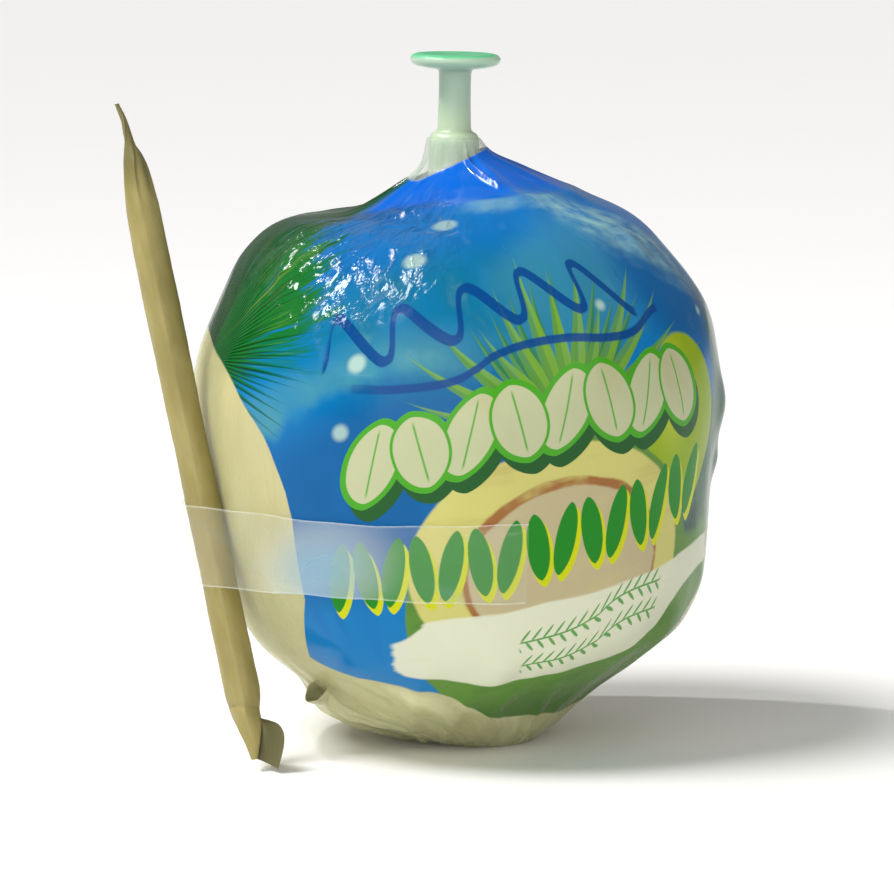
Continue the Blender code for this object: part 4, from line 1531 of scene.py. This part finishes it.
@dataclass
class StrawWrapper:
    """The paper sleeve round the straw: creased, twisted shut above, curled open below. Sizes in mm.

    A station of the sleeve is x, y, z, half width and half depth.
    """

    straw_low: tuple[float, float, float] = (-58.0, -36.0, 14.2)
    straw_high: tuple[float, float, float] = (-82.6, -18.3, 131.6)
    stations: tuple[tuple[float, float, float, float, float], ...] = (
        (-55.5, -43.9, 3.1, 0.75, 0.45), (-56.0, -42.3, 7.0, 1.9, 0.75), (-56.8, -40.2, 10.6, 3.0, 1.9),
        (-57.9, -36.6, 13.3, 3.5, 5.0), (-58.6, -35.8, 17.6, 4.3, 4.3), (-59.5, -34.9, 22.0, 4.4, 4.1),
        (-70.3, -27.15, 72.9, 4.2, 3.7), (-82.7, -18.2, 132.1, 4.2, 3.7), (-83.9, -17.4, 138.0, 3.8, 3.3),
        (-85.3, -16.0, 146.0, 2.7, 2.0), (-86.6, -14.6, 151.2, 1.5, 1.1), (-87.8, -13.6, 156.0, 1.2, 0.8),
        (-89.6, -12.8, 160.2, 0.6, 0.5),
    )
    lip_root: tuple[tuple[float, float, float], ...] = (
        (-56.4, -42.6, 3.4), (-56.6, -41.6, 6.0), (-56.6, -40.6, 9.0), (-56.2, -39.6, 12.4),
    )
    lip_edge: tuple[tuple[float, float, float], ...] = (
        (-49.8, -46.6, 1.2), (-48.9, -46.4, 4.4), (-48.3, -46.0, 7.4), (-48.4, -45.2, 9.8),
        (-49.6, -43.9, 11.6), (-51.8, -42.4, 12.3), (-53.8, -41.0, 12.5),
    )
    lip_depth: float = 1.6
    lip_rows: int = 60
    lip_columns: int = 36
    rows: int = 260
    columns: int = 72
    roundness: float = 1.5
    wall: float = 0.12
    twist: float = math.radians(110.0)

    def frame(self) -> tuple[np.ndarray, np.ndarray]:
        """Work out the directions across the straw.

        Returns:
            The one to the right, and the one to the back.
        """
        along = Vector(self.straw_high) - Vector(self.straw_low)
        along.normalize()
        across = (Vector((1.0, 0.0, 0.0)) - along * along.x).normalized()
        return np.array(across), np.array(along.cross(across))

    def sleeve(self) -> tuple[np.ndarray, np.ndarray]:
        """Place the sleeve's outer face.

        Returns:
            The grid, in metres, and its chart, in mm.
        """
        across, depth = self.frame()
        path = smooth_curve(np.array(self.stations), 30)
        way = np.concatenate([[0.0], np.cumsum(np.linalg.norm(np.diff(path[:, :3], axis=0), axis=1))])
        at = np.linspace(0.0, way[-1], self.rows)
        path = np.stack([np.interp(at, way, path[:, i]) for i in range(5)], axis=1)
        angle = np.linspace(0.0, math.tau, self.columns + 1)[None, :]
        power = 2.0 / self.roundness
        z = path[:, 2:3]
        wide = np.sign(np.cos(angle)) * np.abs(np.cos(angle)) ** power * path[:, 3:4]
        deep = np.sign(np.sin(angle)) * np.abs(np.sin(angle)) ** power * path[:, 4:5]
        turn = self.twist * ease(143.0, 160.0, z)
        wide, deep = wide * np.cos(turn) - deep * np.sin(turn), wide * np.sin(turn) + deep * np.cos(turn)
        knurl = np.sin(z * 2.6 + angle * 3) * np.sin(z * 2.6 - angle * 3) * 0.16 * ease(146.0, 150.0, z)
        grown = 1 + knurl / np.maximum(path[:, 4:5], 0.5)
        places = path[:, None, :3] + (wide * grown)[..., None] * across + (deep * grown)[..., None] * depth
        away = wide[..., None] * across + deep[..., None] * depth
        away /= np.maximum(np.linalg.norm(away, axis=2, keepdims=True), 1e-6)
        crease = noise_over(places * (1.0, 1.0, 0.35), 7.0, 2.0) * 0.16 + noise_over(places, 2.6, 8.0) * 0.05
        pinch = -0.45 * ridge(z - 14.8 + 0.7 * np.cos(angle), 0.6) * (1 + 0.3 * np.sin(angle * 2))
        gathered = np.sin(angle * 7 + 1.3) * 0.22 * ridge(z - 143.0, 7.0) + crease * ease(4, 12, z)
        places = places + away * (gathered + pinch * (1 - ease(-0.5, 0.1, np.sin(angle))))[..., None]
        chart = np.stack([np.broadcast_to(angle * 4.2, places.shape[:2]),
                          np.broadcast_to(at[:, None], places.shape[:2])], axis=2)
        return places * MM, chart

    def tongue(self) -> tuple[np.ndarray, np.ndarray]:
        """Place the curled lip of paper at the open lower end.

        Returns:
            The grid, in metres, and its chart, in mm.
        """
        edge = smooth_curve(np.array(self.lip_edge), 8)
        back = smooth_curve(np.array(self.lip_root), 8)
        lines = []
        for line in (back, edge):
            way = np.concatenate([[0.0], np.cumsum(np.linalg.norm(np.diff(line, axis=0), axis=1))])
            at = np.linspace(0.0, way[-1], self.lip_rows)
            lines.append(np.stack([np.interp(at, way, line[:, i]) for i in range(3)], axis=1))
        share = np.linspace(0.0, 1.0, self.lip_columns)[None, :, None]
        places = lines[0][:, None, :] * (1 - share) + lines[1][:, None, :] * share
        hollow = np.sin(share[..., 0] * math.pi * 0.92) * self.lip_depth
        ripple = noise_over(places, 4.0, 6.0) * 0.12
        places[..., 1] += hollow + ripple * share[..., 0]
        up = np.linspace(0.0, 11.0, self.lip_rows)[:, None] + 0 * share[..., 0]
        chart = np.stack([share[..., 0] * 8.0 + 0 * up, up], axis=2)
        return places * MM, chart

    def build(self) -> list[bpy.types.Object]:
        """Build and dress the sleeve, its lip, whose paper is darker with painted shade, and the straw
        within.
        """
        outside = GreaseproofPaper().material(PaperSide.OUTSIDE)
        places, chart = self.sleeve()
        sleeve = rolled_sheet("straw_wrapper_sleeve", places, chart)
        inside = GreaseproofPaper().material(PaperSide.INSIDE)
        give_wall(sleeve, self.wall * MM)
        places, chart = self.tongue()
        lip = rolled_sheet("straw_wrapper_lip", places, chart, merge=False)
        give_wall(lip, self.wall * MM)
        pieces = [finish_piece(sleeve, [outside], "straw_wrapper"),
                  finish_piece(lip, [inside], "straw_wrapper")]
        white = ExtrudedStraw().material()
        for slot in bpy.data.objects["drinking_straw"].material_slots:
            slot.material = white
        return pieces


# ---------------------------------------------------------------- tape


@dataclass(frozen=True)
class ClearTape:
    """Clear polypropylene packing tape: glossy, faintly milky where it has lifted or creased."""

    tint: str = "#E9EAE0"
    milk: str = "#A9CCDA"

    def material(self) -> bpy.types.Material:
        """Make the material."""
        finish = Finish("clear_packing_tape")
        tape = Pattern.on_chart(finish.tree)
        lifted = tape.grain(9.0, (1.4, 1.0, 1.0), 14.0, 4.0)
        rub = tape.grain(2.5, (5.0, 1.0, 1.0), -8.0, 4.0, 9.0)
        edge = tape.up.step(0.0, 0.6, (1.0, 0.0)).most(tape.up.step(18.4, 19.0))
        over_ink = tape.oval((50.0, 7.0), (13.0, 9.0), -20.0, 16.0)
        milky = lifted.step(0.2, 1.0) * 0.08 + rub.step(0.3, 1.1) * 0.06 + over_ink * 0.34
        weight = add_node(finish.tree, "ShaderNodeLayerWeight", {"Blend": 0.3})
        facing = Field(finish.tree, weight.outputs["Facing"])
        see = (milky + facing * facing * 0.2 + edge * 0.16 + 0.04).least(0.85)
        colour = tape.paint(self.tint, lifted.step(0.0, 1.0).most(over_ink), self.milk)
        relief = lifted * 0.5 + tape.grain(3.0, (3.0, 1.0, 1.0), 30.0, 2.0, 21.0) * 0.2
        rough = rub.step(-0.6, 0.9, (0.1, 0.24))
        return finish.done({"Base Color": colour, "Roughness": rough, "IOR": 1.5, "Specular IOR Level": 0.2,
                            "Alpha": see}, relief, 0.3 * MM)


@dataclass
class Tape:
    """The clear tape that holds the wrapped straw against the film. Sizes in mm."""

    form: CoconutForm
    wrapper: StrawWrapper
    low: float = 44.5
    high: float = 63.5
    gap: float = 0.8
    wall: float = 0.12
    front: float = math.radians(-75.0)
    back: float = math.radians(-214.0)
    rows: int = 48
    columns: int = 420

    def tight_line(self, points: np.ndarray, angle: np.ndarray) -> np.ndarray:
        """Work out how far a line drawn tight round points lies from the core.

        Args:
            points: Level points as rows of x, y from the core, in mm.
            angle: Directions from the core.

        Returns:
            The distance in each direction.
        """
        facing = np.linspace(0.0, math.tau, 1440, endpoint=False)
        support = (points @ np.stack([np.cos(facing), np.sin(facing)])).max(axis=0)
        lean = np.cos(angle[:, None] - facing[None, :])
        return np.where(lean > 0.05, support / np.maximum(lean, 0.05), np.inf).min(axis=1)

    def section(self, grid: np.ndarray, z: float) -> np.ndarray:
        """Find where the upright lines of a grid pass a height.

        Args:
            grid: Rows of columns of x, y, z, in mm.
            z: The height, in mm.

        Returns:
            Rows of x, y.
        """
        points = []
        for column in np.swapaxes(grid, 0, 1):
            order = np.argsort(column[:, 2])
            points.append([np.interp(z, column[order, 2], column[order, i]) for i in (0, 1)])
        return np.array(points)

    def strip(self) -> np.ndarray:
        """Draw the strip's level lines tight round the film and the wrapper, as a grid in mm."""
        core = np.array([self.form.core_x, 0.0])
        film = self.form.surface(self.form.wrapped + self.form.tent, 150, 180, 0.0) / MM
        sleeve = self.wrapper.sleeve()[0][20:200:2, ::3] / MM
        angle = np.linspace(self.front, self.back, self.columns)
        lines = []
        for z in np.linspace(self.low, self.high, self.rows):
            around = self.section(film, z) - core
            around += around / np.linalg.norm(around, axis=1, keepdims=True) * self.gap
            straw = self.section(sleeve, z)
            middle = straw.mean(axis=0)
            away = straw - middle
            straw = middle + away + away / np.linalg.norm(away, axis=1, keepdims=True) * self.gap
            reach = self.tight_line(np.vstack([around, straw - core]), angle) + self.wall
            lines.append(np.stack([core[0] + reach * np.cos(angle), reach * np.sin(angle),
                                   np.full_like(angle, z)], axis=1))
        return np.stack(lines)

    def build(self) -> bpy.types.Object:
        """Build and dress the tape."""
        places = self.strip()
        pace = np.linalg.norm(np.diff(places[0], axis=0), axis=1)
        along = np.concatenate([[0.0], np.cumsum(pace)])
        up = np.linspace(0.0, self.high - self.low, self.rows)[:, None] + 0 * along
        along = np.broadcast_to(along, up.shape)
        radial = places * (1.0, 1.0, 0.0) - np.array([self.form.core_x, 0.0, 0.0])
        radial /= np.linalg.norm(radial, axis=2, keepdims=True)
        wrinkle = noise_over(np.stack([along * 0.45, up, 0 * up], axis=2), 5.0, 4.0) * 0.5 + 0.5
        wrinkle = wrinkle.clip(0, 1) * 0.2
        free = ease(86, 98, along) * (1 - ease(132, 142, along))
        pucker = np.abs(np.sin(up * 0.9 + along * 0.25)) * 0.35 * free
        places = places + radial * (wrinkle + pucker + 0.05)[..., None]
        sag = 0.5 * np.sin(along * 0.09 + 1.0) + 0.25 * np.sin(along * 0.31)
        places[..., 2] += sag * (1 - up / 9.5) * -0.5
        piece = rolled_sheet("clear_tape", places * MM, np.stack([along, up], axis=2), merge=False)
        if self.faces_inward(piece):
            select_only(piece)
            bpy.ops.object.mode_set(mode="EDIT")
            bpy.ops.mesh.select_all(action="SELECT")
            bpy.ops.mesh.flip_normals()
            bpy.ops.object.mode_set(mode="OBJECT")
        give_wall(piece, self.wall * MM)
        return finish_piece(piece, [ClearTape().material()], "tape")

    def faces_inward(self, piece: bpy.types.Object) -> bool:
        """Tell whether the strip's faces look towards the core."""
        middle = Vector((self.form.core_x * MM, 0.0, 0.0))
        faces = piece.data.polygons
        return sum((face.center - middle).to_2d().dot(face.normal.to_2d()) for face in faces) < 0


# ---------------------------------------------------------------- studio


@dataclass(frozen=True)
class SoftLamp:
    """A square soft lamp: its place and size in metres, and its power in watts."""

    name: str
    place: tuple[float, float, float]
    size: float
    power: float


@dataclass
class Studio:
    """A pale floor, a wide key light, soft lamps, a pale surround and the camera. Sizes in metres."""

    aim: tuple[float, float, float] = (-8.75 * MM, 0.0, 73.6 * MM)
    elevation: float = math.radians(8.0)
    distance: float = 1.2
    sensor: float = 36.0
    lens: float = 193.3
    floor_tone: str = "#F7F6F4"
    floor_shade: str = "#E6E5E2"
    floor_size: float = 16.0
    surround_tone: str = "#FFFFFF"
    surround_strength: float = 0.28
    key_place: tuple[float, float, float] = (-0.62, -0.25, 1.0)
    key_power: float = 2.65
    key_angle: float = math.radians(24.0)
    lamps: tuple[SoftLamp, ...] = (
        SoftLamp("front_softbox", (-0.8, -2.8, 1.2), 2.6, 42.0),
        SoftLamp("fill_softbox", (0.9, -0.8, 0.5), 0.8, 2.0),
        SoftLamp("spark_lamp", (-0.62, 0.2, 0.96), 0.03, 3.4),
    )

    def floor(self) -> bpy.types.Object:
        """Build the flat floor, faintly mottled."""
        bpy.ops.object.select_all(action="DESELECT")
        bpy.ops.mesh.primitive_plane_add(size=self.floor_size, location=(0.0, 0.0, 0.0))
        piece = bpy.context.active_object
        piece.name = "studio_floor"
        finish = Finish("pale_studio_paper")
        body = Pattern.on_object(finish.tree)
        mottle = body.grain(60.0, detail=3.0).step(-0.5, 1.5) * 0.06
        tone = body.paint(self.floor_tone, mottle, self.floor_shade)
        material = finish.done({"Base Color": tone, "Roughness": 0.8})
        piece.data.materials.append(material)
        return piece

    def hang(self, soft: SoftLamp) -> None:
        """Hang a soft lamp so that it faces the coconut."""
        bpy.ops.object.light_add(type="AREA", location=soft.place)
        lamp = bpy.context.active_object
        lamp.name = soft.name
        lamp.data.size = soft.size
        lamp.data.energy = soft.power
        way = Vector(self.aim) - Vector(soft.place)
        lamp.rotation_euler = way.to_track_quat("-Z", "Y").to_euler()

    def key_light(self) -> None:
        """Light object and floor alike from the upper left front, through a wide diffuser."""
        bpy.ops.object.light_add(type="SUN", location=self.key_place)
        lamp = bpy.context.active_object
        lamp.name = "key_light"
        lamp.data.energy = self.key_power
        lamp.data.angle = self.key_angle
        lamp.rotation_euler = (-Vector(self.key_place)).to_track_quat("-Z", "Y").to_euler()

    def world(self) -> None:
        """Light everything with a plain near-white surround."""
        world = bpy.data.worlds.new("pale_surround")
        bpy.context.scene.world = world
        world.use_nodes = True
        world.node_tree.nodes.clear()
        output = add_node(world.node_tree, "ShaderNodeOutputWorld")
        inputs = {"Color": to_linear(self.surround_tone), "Strength": self.surround_strength}
        surround = add_node(world.node_tree, "ShaderNodeBackground", inputs)
        world.node_tree.links.new(surround.outputs[0], output.inputs[0])

    def camera(self) -> None:
        """Set the camera level with the shoulder, looking slightly down."""
        back = Vector((0.0, -math.cos(self.elevation), math.sin(self.elevation)))
        place = Vector(self.aim) + back * self.distance
        bpy.ops.object.camera_add(location=place)
        camera = bpy.context.active_object
        camera.rotation_euler = (-back).to_track_quat("-Z", "Y").to_euler()
        camera.data.sensor_width = self.sensor
        camera.data.lens = self.lens
        camera.data.clip_start = 0.01
        bpy.context.scene.camera = camera

    def build(self) -> None:
        """Set up the floor, the lamps, the surround and the camera."""
        self.floor()
        self.world()
        self.key_light()
        for soft in self.lamps:
            self.hang(soft)
        self.camera()
        bpy.context.scene.view_settings.view_transform = "Standard"


def main() -> None:
    """Build every piece round the frame."""
    logging.basicConfig(level=logging.INFO, format="%(message)s")
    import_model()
    form = CoconutForm()
    Husk(form).build()
    film = ShrinkFilm(form)
    film.build()
    film.rolled_fold()
    Opener().build()
    wrapper = StrawWrapper()
    wrapper.build()
    Tape(form, wrapper).build()
    Studio().build()


if __name__ == "__main__":
    main()
